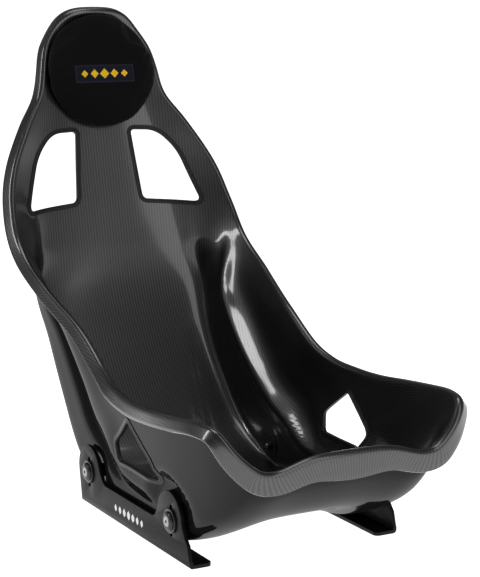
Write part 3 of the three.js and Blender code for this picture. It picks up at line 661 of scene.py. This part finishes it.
class WeaveMap:
    """Distances across and along the face, for laying the cloth."""

    def __init__(self):
        self.s = np.linspace(0, LAST, 150)
        self.v = np.linspace(0, 1, 60)
        grid = face(self.s[:, None], self.v[None, :])
        gaps = np.linalg.norm(np.diff(grid, axis=1), axis=-1)
        self.across = np.concatenate([np.zeros((len(self.s), 1)), np.cumsum(gaps, axis=1)], axis=1)
        gaps = np.linalg.norm(np.diff(grid[:, 0], axis=0), axis=-1)
        self.along = run_lengths(gaps)

    def at(self, s, v):
        row = np.clip(s / LAST * (len(self.s) - 1), 0, len(self.s) - 1.001)
        column = np.clip(np.abs(v) * (len(self.v) - 1), 0, len(self.v) - 1.001)
        i, j = row.astype(int), column.astype(int)
        a, b = row - i, column - j
        across = ((1 - a) * (1 - b) * self.across[i, j] + a * (1 - b) * self.across[i + 1, j]
                  + (1 - a) * b * self.across[i, j + 1] + a * b * self.across[i + 1, j + 1])
        return np.stack([np.sign(v) * across, np.interp(s, self.s, self.along)], -1)


def laminate_rows():
    """Rows of the show face from its middle line over the rolled rim to the flange's edge: points,
    normals and cloth map."""
    rim = outline()
    s, v = rim[:, 0], rim[:, 1]
    spine = np.clip(s, SPINE_TOP, SPINE_END)
    weave = WeaveMap()
    points, normals, maps = [], [], []
    for j in range(FACE_ROWS + 1):
        r = 1 - (1 - j / FACE_ROWS) ** 1.15
        sj, vj = spine + (s - spine) * r, v * r
        points.append(face(sj, vj))
        normals.append(face_normal(sj, vj))
        maps.append(weave.at(sj, vj))
    edge = points[-1]
    along = unit(np.roll(edge, -1, axis=0) - np.roll(edge, 1, axis=0))
    out = -normals[-1]
    out = unit(out - along * (out * along).sum(-1, keepdims=True))
    up = np.cross(along, out)
    up = up * np.sign((up * (edge - points[-2])).sum(-1, keepdims=True))
    beyond = unit(maps[-1] - maps[-2])
    values = station_values(s)
    turn = np.radians(values[:, 6])[:, None]
    extra = 10 * smooth(s, 17.5, 18.8) * np.exp(-(edge[:, 0] / 65) ** 2)
    lip = (values[:, 7] + extra)[:, None]
    for j in range(1, ROLL_ROWS + 1):
        a = turn * j / ROLL_ROWS
        points.append(edge + ROLL_R * ((1 - np.cos(a)) * out + np.sin(a) * up))
        normals.append(-np.cos(a) * out + np.sin(a) * up)
        maps.append(maps[FACE_ROWS] + beyond * ROLL_R * a)
    run = np.sin(turn) * out + np.cos(turn) * up
    end, end_normal, end_map = points[-1], normals[-1], maps[-1]
    for j in range(1, LIP_ROWS + 1):
        points.append(end + run * lip * j / LIP_ROWS)
        normals.append(end_normal)
        maps.append(end_map + beyond * lip * j / LIP_ROWS)
    return points, normals, maps, run


def add_laminate():
    """The moulding: show face, rounded flange edge and back, cut by the slots and bolt holes. The
    back is gel-coat, the rest twill."""
    points, normals, maps, run = laminate_rows()
    show_rows = len(points)
    edge, normal, edge_map = points[-1], normals[-1], maps[-1]
    for j in range(1, 4):
        a = math.pi * j / 4
        half = SHELL_T / 2
        points.append(edge - normal * half * (1 - math.cos(a)) + run * half * math.sin(a))
        maps.append(edge_map)
    for j in range(show_rows - 1, -1, -1):
        points.append(points[j] - normals[j] * SHELL_T)
        maps.append(maps[j])
    verts, faces = loft([to_frame(row) for row in points])
    count = len(points[0])
    marks = [0 if n // count < show_rows + 2 else 1 for n in range(len(faces))]
    verts, faces, first, marks = weld(verts, faces, marks)
    shell = mesh_object("carbon_shell", verts, faces)
    shell.data.materials.append(CARBON)
    shell.data.materials.append(GELCOAT)
    shell.data.polygons.foreach_set("material_index", marks)
    cloth = np.concatenate(maps)[first] * MM
    layer = shell.data.uv_layers.new(name="weave")
    corners = np.zeros(len(shell.data.loops), int)
    shell.data.loops.foreach_get("vertex_index", corners)
    layer.data.foreach_set("uv", cloth[corners].ravel())
    cutters = []
    for _, side in SIDES:
        for slot in SLOTS:
            cutters.append(slot_plug(slot, side))
        for y in (-BOLT_Y, BOLT_Y):
            hole, sides = lathe([(150, 0), (150, BOLT_HOLE_R), (200, BOLT_HOLE_R), (200, 0)], 40)
            place = to_frame(np.array(hole) * [side, 1, 1] + [0, y, BOLT_Z])
            cutters.append(mesh_object("hole", place, sides))
    combine(shell, "DIFFERENCE", cutters)
    shade(shell.data, 38)
    settle(shell, "seat", ["seat_shell"])


# ---- harness slots and their edge trims ----
def rounded_outline(corners, radii, count):
    """Evenly spaced points of a polygon with rounded corners, counter-clockwise."""
    corners = [np.array(c, float) for c in corners]
    path = []
    for i, corner in enumerate(corners):
        back, on = unit(corners[i - 1] - corner), unit(corners[(i + 1) % len(corners)] - corner)
        reach = radii[i] / math.tan(math.acos(np.clip(back @ on, -1, 1)) / 2)
        start, end = corner + back * reach, corner + on * reach
        for t in np.linspace(0, 1, 24):
            path.append(bezier(start, corner, end, t))
    path = np.array(path + [path[0]])
    lengths = run_lengths(np.linalg.norm(np.diff(path, axis=0), axis=1))
    ring = resample(path, lengths, np.linspace(0, lengths[-1], count, endpoint=False))
    area = (ring[:, 0] * np.roll(ring[:, 1], -1) - np.roll(ring[:, 0], -1) * ring[:, 1]).sum()
    return ring if area > 0 else ring[::-1]


def grown(ring, distance):
    along = unit(np.roll(ring, -1, axis=0) - np.roll(ring, 1, axis=0))
    return ring + np.stack([along[:, 1], -along[:, 0]], -1) * distance


# The trims' clear openings: (x, z) on the back, and (y, z) on the side wall.
SHOULDER_CORNERS = [(57, 622), (108, 620), (144, 583), (178, 482), (69, 491)]
LAP_CORNERS = [(-43, 200), (-121, 143), (-112, 117), (18, 119), (23, 150)]
SLOTS = [
    {
        "name": "shoulder_slot_trim",
        "ring": rounded_outline(SHOULDER_CORNERS, (7, 52, 115, 9, 12), 120),
        "locate": on_back,
    },
    {
        "name": "lap_slot_trim",
        "ring": rounded_outline(LAP_CORNERS, (9, 22, 14, 10, 12), 110),
        "locate": on_wall,
    },
]
SLOT_BEYOND, PLUG_REACH = 2.7, 14
TRIM_CLEARANCE = 0.15


def slot_rows(slot, section, side):
    """Rows around a slot, each beyond its clear opening and off the face by the section's point."""
    rows = []
    for beyond, off in section:
        s, v = slot["locate"](grown(slot["ring"], beyond))
        rows.append(to_frame((face(s, v) + face_normal(s, v) * off) * [side, 1, 1]))
    return rows


def slot_plug(slot, side):
    """What is cut out of the laminate: larger than the clear opening, to take the trim's web."""
    depths = (PLUG_REACH, PLUG_REACH / 2, 0, -SHELL_T, -SHELL_T - PLUG_REACH)
    rows = slot_rows(slot, [(SLOT_BEYOND, depth) for depth in depths], side)
    caps = [np.repeat(row.mean(0)[None], len(row), 0) for row in (rows[0], rows[-1])]
    return mesh_object("plug", *weld(*loft([caps[0], *rows, caps[1]]))[:2])


def add_trims():
    """U-channels: a soft bead towards the slot and a flange with a thin lip on each face."""
    near, far = TRIM_CLEARANCE, -SHELL_T - TRIM_CLEARANCE
    half = [
        (2.5, near), (5.4, near), (8.4, near), (8.7, near + 0.5), (8.5, near + 1.0), (7.9, near + 1.2),
        (6.2, near + 1.0), (4.6, near + 1.2), (3.4, near + 1.9), (2.2, near + 2.3), (1.0, near + 1.9),
        (0.25, near + 0.9), (0.0, near - 0.6),
    ]
    other = [(beyond, far - (off - near)) for beyond, off in reversed(half)]
    section = half + other
    for name, side in SIDES:
        for slot in SLOTS:
            rows = slot_rows(slot, section, side)
            node = f"{slot['name']}_{name}"
            mesh = loft(rows, closed=True)
            add_piece(f"{node}_channel", *mesh, RUBBER, "seat", "edge_trim", [node], sharp=50)


# ---- head pad, tapes and patch ----
HEAD_Z = 736
PAD_RX, PAD_RZ, PAD_THICK, PAD_STANDOFF = 111, 106, 26, 4.5
# The cloth draws in, so it starts larger. The board is smaller than the pad.
CLOTH_SCALE, BOARD_SCALE = 1.025, 0.975
MOST_STUFFING = 0.007
BOARD_OVERLAP = 0.5
CLOTH_STEPS = 20


def pad_ring(scale, share, standing):
    """A ring of points at a share of the pad's scaled outline, standing off the shell's face."""
    angles = np.linspace(0, 2 * math.pi, 96, endpoint=False)
    x = PAD_RX * scale * share * np.cos(angles)
    z = HEAD_Z + PAD_RZ * scale * share * np.sin(angles)
    s, v = on_back(np.stack([x, z], -1))
    return to_frame(np.stack([x, face(s, v)[:, 1] - standing, z], -1))


def pad_shape():
    """The pad before it is stuffed: points and faces."""
    shares = [0, 0.12, 0.25, 0.38, 0.5, 0.62, 0.73, 0.82, 0.89, 0.94, 0.975, 1.0]
    front = [
        pad_ring(CLOTH_SCALE, q, PAD_STANDOFF + 1 + (PAD_THICK - 5) * (1 - 0.55 * q ** 6))
        for q in shares
    ]
    rear = [pad_ring(CLOTH_SCALE, q, PAD_STANDOFF) for q in reversed(shares)]
    return weld(*loft(front + rear))[:2]


def stuff(pad, cap):
    """Blows the pad up as cloth, moving no point further than cap, and bakes the result."""
    scene = bpy.context.scene
    remesh = pad.modifiers.new("remesh", "REMESH")
    remesh.mode = "VOXEL"
    remesh.voxel_size = 0.0045
    apply_modifiers(pad)
    before = points_of(pad)
    cloth = pad.modifiers.new("cloth", "CLOTH")
    cloth.settings.use_pressure = True
    cloth.settings.uniform_pressure_force = 4
    cloth.settings.quality = 6
    cloth.settings.mass = 0.3
    cloth.settings.tension_stiffness = 12
    cloth.settings.compression_stiffness = 12
    cloth.settings.bending_stiffness = 0.6
    cloth.settings.effector_weights.gravity = 0
    cloth.point_cache.frame_start = 1
    cloth.point_cache.frame_end = CLOTH_STEPS
    for step in range(1, CLOTH_STEPS + 1):
        scene.frame_set(step)
    apply_modifiers(pad)
    scene.frame_set(1)
    move = points_of(pad) - before
    length = np.linalg.norm(move, axis=1, keepdims=True)
    held = before + move * np.minimum(1, cap / np.maximum(length, 1e-9))
    pad.data.vertices.foreach_set("co", held.ravel())


def rest_on_face(pad):
    """Keeps the pad's back parallel to the shell's face, sunk a little into its board."""
    local = (points_of(pad) - [0, MID_Y, 0]) / MM
    s, v = on_back(local[:, [0, 2]])
    limit = face(s, v)[:, 1] - PAD_STANDOFF + BOARD_OVERLAP
    local[:, 1] = np.minimum(local[:, 1], limit)
    pad.data.vertices.foreach_set("co", to_frame(local).ravel())


def fill_box(piece, node):
    """Stretches a piece sideways and upwards to the extent of its CAD node."""
    low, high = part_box(node)
    co = points_of(piece)
    for axis in (0, 2):
        own_low, own_high = co[:, axis].min(), co[:, axis].max()
        share = (co[:, axis] - own_low) / (own_high - own_low)
        co[:, axis] = low[axis] + share * (high[axis] - low[axis])
    piece.data.vertices.foreach_set("co", co.ravel())


def add_head_pad():
    pad = mesh_object("head_pad_cushion", *pad_shape())
    stuff(pad, MOST_STUFFING)
    fill_box(pad, "head_pad_cover")
    rest_on_face(pad)
    smoothing = pad.modifiers.new("smooth", "SMOOTH")
    smoothing.factor = 0.5
    smoothing.iterations = 4
    rounding = pad.modifiers.new("round", "SUBSURF")
    rounding.levels = rounding.render_levels = 1
    apply_modifiers(pad)
    pad.data.materials.clear()
    pad.data.materials.append(VELOUR)
    pad.data.polygons.foreach_set("use_smooth", [True] * len(pad.data.polygons))
    settle(pad, "head_pad", ["head_pad_cover", "head_pad_foam"])
    return pad


def front_of(pad):
    """A function that gives the pad's front face, in metres, at (x, z) in millimetres."""
    tree = BVHTree.FromPolygons(
        [v.co.copy() for v in pad.data.vertices], [tuple(p.vertices) for p in pad.data.polygons]
    )

    def at(x, z):
        starts = [Vector((a * MM, MID_Y - 0.6, b * MM)) for a, b in zip(x, z)]
        hits = [tree.ray_cast(start, Vector((0, 1, 0))) for start in starts]
        return np.array([hit[0] for hit in hits]), np.array([hit[1] for hit in hits])

    return at


def tile(columns, rows, place, low, high):
    """A thin closed sheet: place(u, w) gives points and normals for arrays u and w from 0 to 1; the
    sheet stands from low to high off them, with a rounded edge."""
    w, u = (grid.ravel() for grid in np.mgrid[0 : rows + 1, 0 : columns + 1] / [[[rows]], [[columns]]])
    at_edge = (u < 1e-6) | (u > 1 - 1e-6) | (w < 1e-6) | (w > 1 - 1e-6)
    points, normals = place(u, w)
    top = np.where(at_edge, high - (high - low) * 0.45, high)[:, None]
    verts = np.concatenate([points + normals * low, points + normals * top])
    count = len(points)

    def index(layer, i, j):
        return layer * count + j * (columns + 1) + i

    faces = []
    for layer in (0, 1):
        for j in range(rows):
            for i in range(columns):
                quad = [index(layer, a, b) for a, b in ((i, j), (i + 1, j), (i + 1, j + 1), (i, j + 1))]
                faces.append(quad if layer else quad[::-1])
    ring = [(i, 0) for i in range(columns)] + [(columns, j) for j in range(rows)]
    ring += [(i, rows) for i in range(columns, 0, -1)] + [(0, j) for j in range(rows, 0, -1)]
    for a, b in zip(ring, ring[1:] + ring[:1]):
        faces.append([index(0, *a), index(0, *b), index(1, *b), index(1, *a)])
    return verts, faces


def merge(parts):
    """Several (verts, faces) as one."""
    verts, faces = [], []
    for more_verts, more_faces in parts:
        start = len(verts)
        verts.extend(more_verts)
        faces.extend([[k + start for k in f] for f in more_faces])
    return verts, faces


def add_patch(pad):
    """A woven patch with a row of plain lozenges, sewn on around its edge."""
    low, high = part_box("head_pad_badge")
    wide, tall = (high.x - low.x) / MM / 2, (high.z - low.z) / MM / 2
    centre_z = (high.z + low.z) / MM / 2
    front = front_of(pad)

    def place(cx, cz, width, height):
        def at(u, w):
            return front(cx + (u - 0.5) * width, cz + (w - 0.5) * height)
        return at

    def diamond(cx, cz, width, height):
        def at(u, w):
            return front(cx + (u - w) * width / 2, cz + (u + w - 1) * height / 2)
        return at

    cloth = tile(48, 14, place(0, centre_z, wide * 2, tall * 2), -0.0006, 0.0009)
    add_piece("head_pad_patch", *cloth, PATCH, "head_pad", "badge", ["head_pad_badge"])
    lozenges = []
    for k in range(5):
        size = 19 - 2.5 * abs(k - 2)
        lozenges.append(tile(8, 8, diamond((k - 2) * 20.5, centre_z, size, size), 0.0004, 0.0017))
    add_piece("patch_lozenges", *merge(lozenges), YELLOW, "head_pad", "badge")
    stitches = []
    for cz in (centre_z + tall - 2, centre_z - tall + 2):
        for cx in np.linspace(3 - wide, wide - 3, 34):
            stitches.append(tile(2, 1, place(cx, cz, 2.0, 0.7), 0.0005, 0.0013))
    for cx in (2 - wide, wide - 2):
        for cz in centre_z + np.linspace(4 - tall, tall - 4, 9):
            stitches.append(tile(1, 2, place(cx, cz, 0.7, 2.0), 0.0005, 0.0013))
    add_piece("patch_stitches", *merge(stitches), THREAD, "head_pad", "badge")


FUZZ = 0.0003


def add_tapes():
    """Hook tapes on the pad's board and loop tapes on the shell. near and far are millimetres off
    the shell's face, and way is which way along Y the fuzzy side looks."""
    dice = random.Random(7)
    for kind, body, material, (near, far), way in (
        ("hook", "head_pad", HOOKS, (2.55, 4.15), 1), ("loop", "seat", LOOPS, (0.9, 2.2), -1),
    ):
        for which in ("upper", "lower"):
            node = f"{kind}_tape_{which}"
            low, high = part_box(node)
            cz, height = (low.z + high.z) / MM / 2, (high.z - low.z) / MM
            width = (high.x - low.x) / MM

            def place(u, w):
                s, v = on_back(np.stack([(u - 0.5) * width, cz + (w - 0.5) * height], -1))
                return to_frame(face(s, v)), np.array([[0, -1, 0]])

            verts, faces = tile(44, 12, place, near * MM, far * MM)
            half = len(verts) // 2
            for k in range(half, 2 * half) if kind == "loop" else range(half):
                verts[k] = verts[k] + np.array([0, way * dice.uniform(0, FUZZ), 0])
            add_piece(node + "_strip", verts, faces, material, body, "hook_and_loop", [node])


def add_board():
    """The pad's moulded back board, with its rounded edge."""
    shares = [0, 0.2, 0.4, 0.6, 0.8, 0.93, 0.985]
    section = [(q, -0.3) for q in shares] + [(0.997, 0), (1.0, 0.8)] + [(q, 1.4) for q in reversed(shares)]
    rows = [pad_ring(BOARD_SCALE, share, PAD_STANDOFF + off) for share, off in section]
    mesh = weld(*loft(rows))[:2]
    add_piece("head_pad_board", *mesh, POWDER, "head_pad", "board", ["head_pad_back_board"])


# ---- brackets ----
def arc(cy, cz, radius, start, end, steps):
    return [(cy + radius * math.cos(a), cz + radius * math.sin(a)) for a in np.linspace(start, end, steps)]


def curve(start, control, end, steps):
    start, control, end = (np.array(p, float) for p in (start, control, end))
    return [tuple(bezier(start, control, end, t)) for t in np.linspace(0, 1, steps)]


def upright_outline(low, high):
    """The upright's outline in (y, z), rising from the fold."""
    points = [(low, 8), (high, 8)]
    points += arc(REAR_EAR_Y, EAR_Z, EAR_R, -0.12, math.pi * 0.9, 40)
    points += curve(points[-1], (REAR_EAR_Y - 56, WAIST_Z), (REAR_EAR_Y - 70, WAIST_Z), 14)[1:]
    ear = arc(FRONT_EAR_Y, EAR_Z, EAR_R, 0.45, math.pi * 0.98, 34)
    shoulder = (FRONT_EAR_Y + 40, EAR_Z + 14)
    points += curve((FRONT_EAR_Y + 64, WAIST_Z), (FRONT_EAR_Y + 46, WAIST_Z), shoulder, 14)
    points += ear
    points += curve(ear[-1], (FRONT_EAR_Y - 54, 44), (low + 8, 36), 8)[1:]
    return points


def prism(outline_points, axis, low, high):
    """An outline in the other two axes' plane, drawn along an axis from low to high."""
    count = len(outline_points)
    points = np.array(outline_points, float)
    verts = [to_frame(np.insert(point, axis, level)) for level in (low, high) for point in points]
    faces = [list(range(count)), list(range(count, 2 * count))]
    faces[min(axis, 1)].reverse()
    for i in range(count):
        j = (i + 1) % count
        faces.append([i, j, count + j, count + i])
    return verts, faces


def add_brackets():
    """Folded plates: an upright with ears and adjuster slots, and a foot with rounded corners."""
    plate_out, plate_in, bend, foot, inner_bend, fold_top = 193, 187, 6, 6, 2.5, 12
    slot_half, slot_r, corner, past = 22.3, 4.7, 9, 3
    for name, side in SIDES:
        node = f"side_bracket_{name}"
        low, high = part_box(node)
        front, rear = (low.y - MID_Y) / MM, BOLT_Y + 35
        foot_in = min(abs(low.x), abs(high.x)) / MM
        upright = mesh_object("upright", *prism(upright_outline(front, rear), 0, plate_in, plate_out))
        fold = [(foot_in, 0), (plate_out - bend, 0)]
        fold += arc(plate_out - bend, bend, bend, -math.pi / 2, 0, 9)[1:]
        fold += [(plate_out, fold_top), (plate_in, fold_top)]
        fold += arc(plate_in - inner_bend, foot + inner_bend, inner_bend, 0, -math.pi / 2, 6)
        fold += [(foot_in, foot)]
        combine(upright, "UNION", [mesh_object("fold", *prism(fold, 1, front, rear))])
        tools = []
        for y in (-BOLT_Y, BOLT_Y):
            ring = arc(y, BOLT_Z + slot_half, slot_r, 0, math.pi, 16)
            ring += arc(y, BOLT_Z - slot_half, slot_r, math.pi, 2 * math.pi, 16)
            tools.append(mesh_object("slot", *prism(ring, 0, plate_in - past, plate_out + past)))
        for y, way in ((front, 1), (rear, -1)):
            arc_points = [(foot_in - 1, y - way), (foot_in - 1, y + way * corner)]
            arc_points += [
                (foot_in + corner * (1 - math.cos(a)), y + way * corner * (1 - math.sin(a)))
                for a in np.linspace(0, math.pi / 2, 9)
            ]
            arc_points.append((foot_in + corner, y - way))
            tools.append(mesh_object("corner", *prism(arc_points, 2, -past, foot + 10)))
        combine(upright, "DIFFERENCE", tools)
        bevel = upright.modifiers.new("edge", "BEVEL")
        bevel.width = 0.0007
        bevel.segments = 2
        bevel.limit_method = "ANGLE"
        bevel.angle_limit = math.radians(40)
        apply_modifiers(upright)
        co = points_of(upright) * [side, 1, 1]
        faces = [list(p.vertices) for p in upright.data.polygons]
        bpy.data.meshes.remove(upright.data)
        add_piece(f"{node}_plate", co, faces, POWDER, "brackets", "black_powder", [node], sharp=30)
        add_bracket_mark(name, side, plate_out)


def add_bracket_mark(name, side, plate_out):
    """A plain printed row of lozenges on the bracket's outer face."""
    marks = []
    for k in range(7):
        size = 17 - 1.2 * abs(k - 3)

        def place(u, w, centre=(k - 3) * 17.0, half=size / 2):
            y, z = centre + (u - w) * half, 26 + (u + w - 1) * half
            return to_frame(np.stack([0 * u + side * plate_out, y, z], -1)), np.array([[side, 0, 0]])

        marks.append(tile(3, 3, place, -0.0002, 0.00015))
    add_piece(f"bracket_mark_{name}", *merge(marks), INK, "brackets", "black_powder")


# ---- bolt stacks ----
# Radii and lengths of the M8 screws, in millimetres.
CLEARANCE_R, SCREW_R, ROOT_R, CONE_DEPTH = 4.3, 4.0, 3.55, 4.6
THREAD_LENGTH, THREAD_PITCH = 14, 1.25
SOCKET_R, SOCKET_DEPTH = 2.5, 3


def in_metres(points):
    return np.array(points) * MM


def add_stack(end, name, side):
    """One side bolt, along X: nut and washer inside the shell, spacer, ear, washers and screw."""
    y, z = STACK_MIDDLES[end, name].y, STACK_MIDDLES[end, name].z
    body = "rear_bolts" if end == "rear" else "seat"

    def span(piece):
        low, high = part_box(f"{end}_{name}_{piece}")
        return sorted((abs(low.x) / MM, abs(high.x) / MM))

    def put(piece, parts, material, slot, sharp=32, marks=None):
        verts, faces = merge(parts) if isinstance(parts, list) else parts
        verts = np.asarray(verts) * [side, 1, 1] + [0, y, z]
        node = f"{end}_{name}_{piece}"
        add_piece(f"{node}_part", verts, faces, material, body, slot, [node], marks, sharp)

    clear = CLEARANCE_R
    near, far = span("screw")
    put("screw", screw_parts(near, far), STEEL, "zinc_steel")
    near, far = span("cup_washer")
    cup = [
        (near, clear), (near, 15.6), (near + 0.9, 16), (near + 2.2, 15.6),
        (far - 1.2, 13.8), (far - 0.3, 11.8), (far, 10.4), (far - 0.3, 9.2), (far - 1.0, 8.9),
        (far - 4.7, clear),
    ]
    put("cup_washer", lathe(in_metres(cup), 56), ANODISED, "black_anodised", 40)
    for piece, outer, slot, edge in (
        ("large_washer", 20, "black_anodised", 0.6),
        ("spacer", 11, "black_anodised", 0.5),
        ("inner_washer", 19, "black_zinc", 0.35),
    ):
        near, far = span(piece)
        ring = [(near, clear), (near, outer), (far, outer), (far, clear)]
        put(piece, lathe(in_metres(rounded_profile(ring, edge)), 56), ANODISED, slot, 40)
    near, far = span("lock_nut")
    parts, marks = nut_parts(near, far)
    put("lock_nut", parts, [ANODISED, NYLON], "black_zinc", 30, marks)


def screw_parts(near, far):
    """Countersunk screw: a shank with rings for its thread, a cone and a hexagon socket."""
    profile = [(near, 0), (near, 3.2), (near + 0.7, 3.9)]
    x = near + 0.7
    while x < near + THREAD_LENGTH:
        profile += [(x + 0.3, SCREW_R), (x + 0.62, ROOT_R), (x + 0.95, SCREW_R)]
        x += THREAD_PITCH
    profile += [(far - CONE_DEPTH, SCREW_R), (far - 0.5, 8.5), (far - 0.25, 8.7), (far, 8.45), (far, 0)]
    body = mesh_object("screw", *lathe(in_metres(profile), 60))
    hexagon = arc(0, 0, SOCKET_R / math.cos(math.pi / 6), 0, 2 * math.pi, 7)[:6]
    depth = far - SOCKET_DEPTH
    socket = [(far + 1, *p) for p in hexagon] + [(depth, *p) for p in hexagon] + [(depth - 0.9, 0, 0)]
    sides = [[i, (i + 1) % 6, 6 + (i + 1) % 6, 6 + i] for i in range(6)]
    sides += [[6 + i, 6 + (i + 1) % 6, 12] for i in range(6)] + [[5, 4, 3, 2, 1, 0]]
    combine(body, "DIFFERENCE", [mesh_object("socket", in_metres(socket), sides)])
    result = [tuple(v.co) for v in body.data.vertices], [list(p.vertices) for p in body.data.polygons]
    bpy.data.meshes.remove(body.data)
    return result


def nut_parts(near, far):
    """Lock nut: chamfered hexagon, with a collar that holds a nylon ring at its inner end."""
    across = 6.5
    hex_from, segments, rows = near + 2.2, 72, []
    for k in range(segments):
        a = 2 * math.pi * k / segments
        from_flat = (a + math.pi / 6) % (math.pi / 3) - math.pi / 6
        flat = across / math.cos(from_flat)
        face_r = min(flat, across * 1.02)
        low_r = min(flat, across * 1.08)
        profile = [
            (far, CLEARANCE_R), (far, face_r), (far - 0.7, flat), (hex_from + 0.7, flat),
            (hex_from, low_r), (hex_from, 6.0), (near + 0.4, 5.9), (near, 5.4), (near, CLEARANCE_R),
        ]
        rows.append(in_metres([(x, r * math.cos(a), r * math.sin(a)) for x, r in profile]))
    verts, faces = loft(rows, closed=True)
    inner, outer, low, high = 4.2, 5.2, near - 0.1, near + 0.3
    ring = lathe(in_metres([(high, inner), (high, outer), (low, outer), (low, inner)]), 48)
    marks = [0] * len(faces) + [1] * len(ring[1])
    return [(list(verts), faces), (list(ring[0]), ring[1])], marks


add_camera()
add_studio()
add_laminate()
add_trims()
head_pad = add_head_pad()
add_patch(head_pad)
add_board()
add_tapes()
add_brackets()
for end_name in ENDS:
    for side_name, side_sign in SIDES:
        add_stack(end_name, side_name, side_sign)
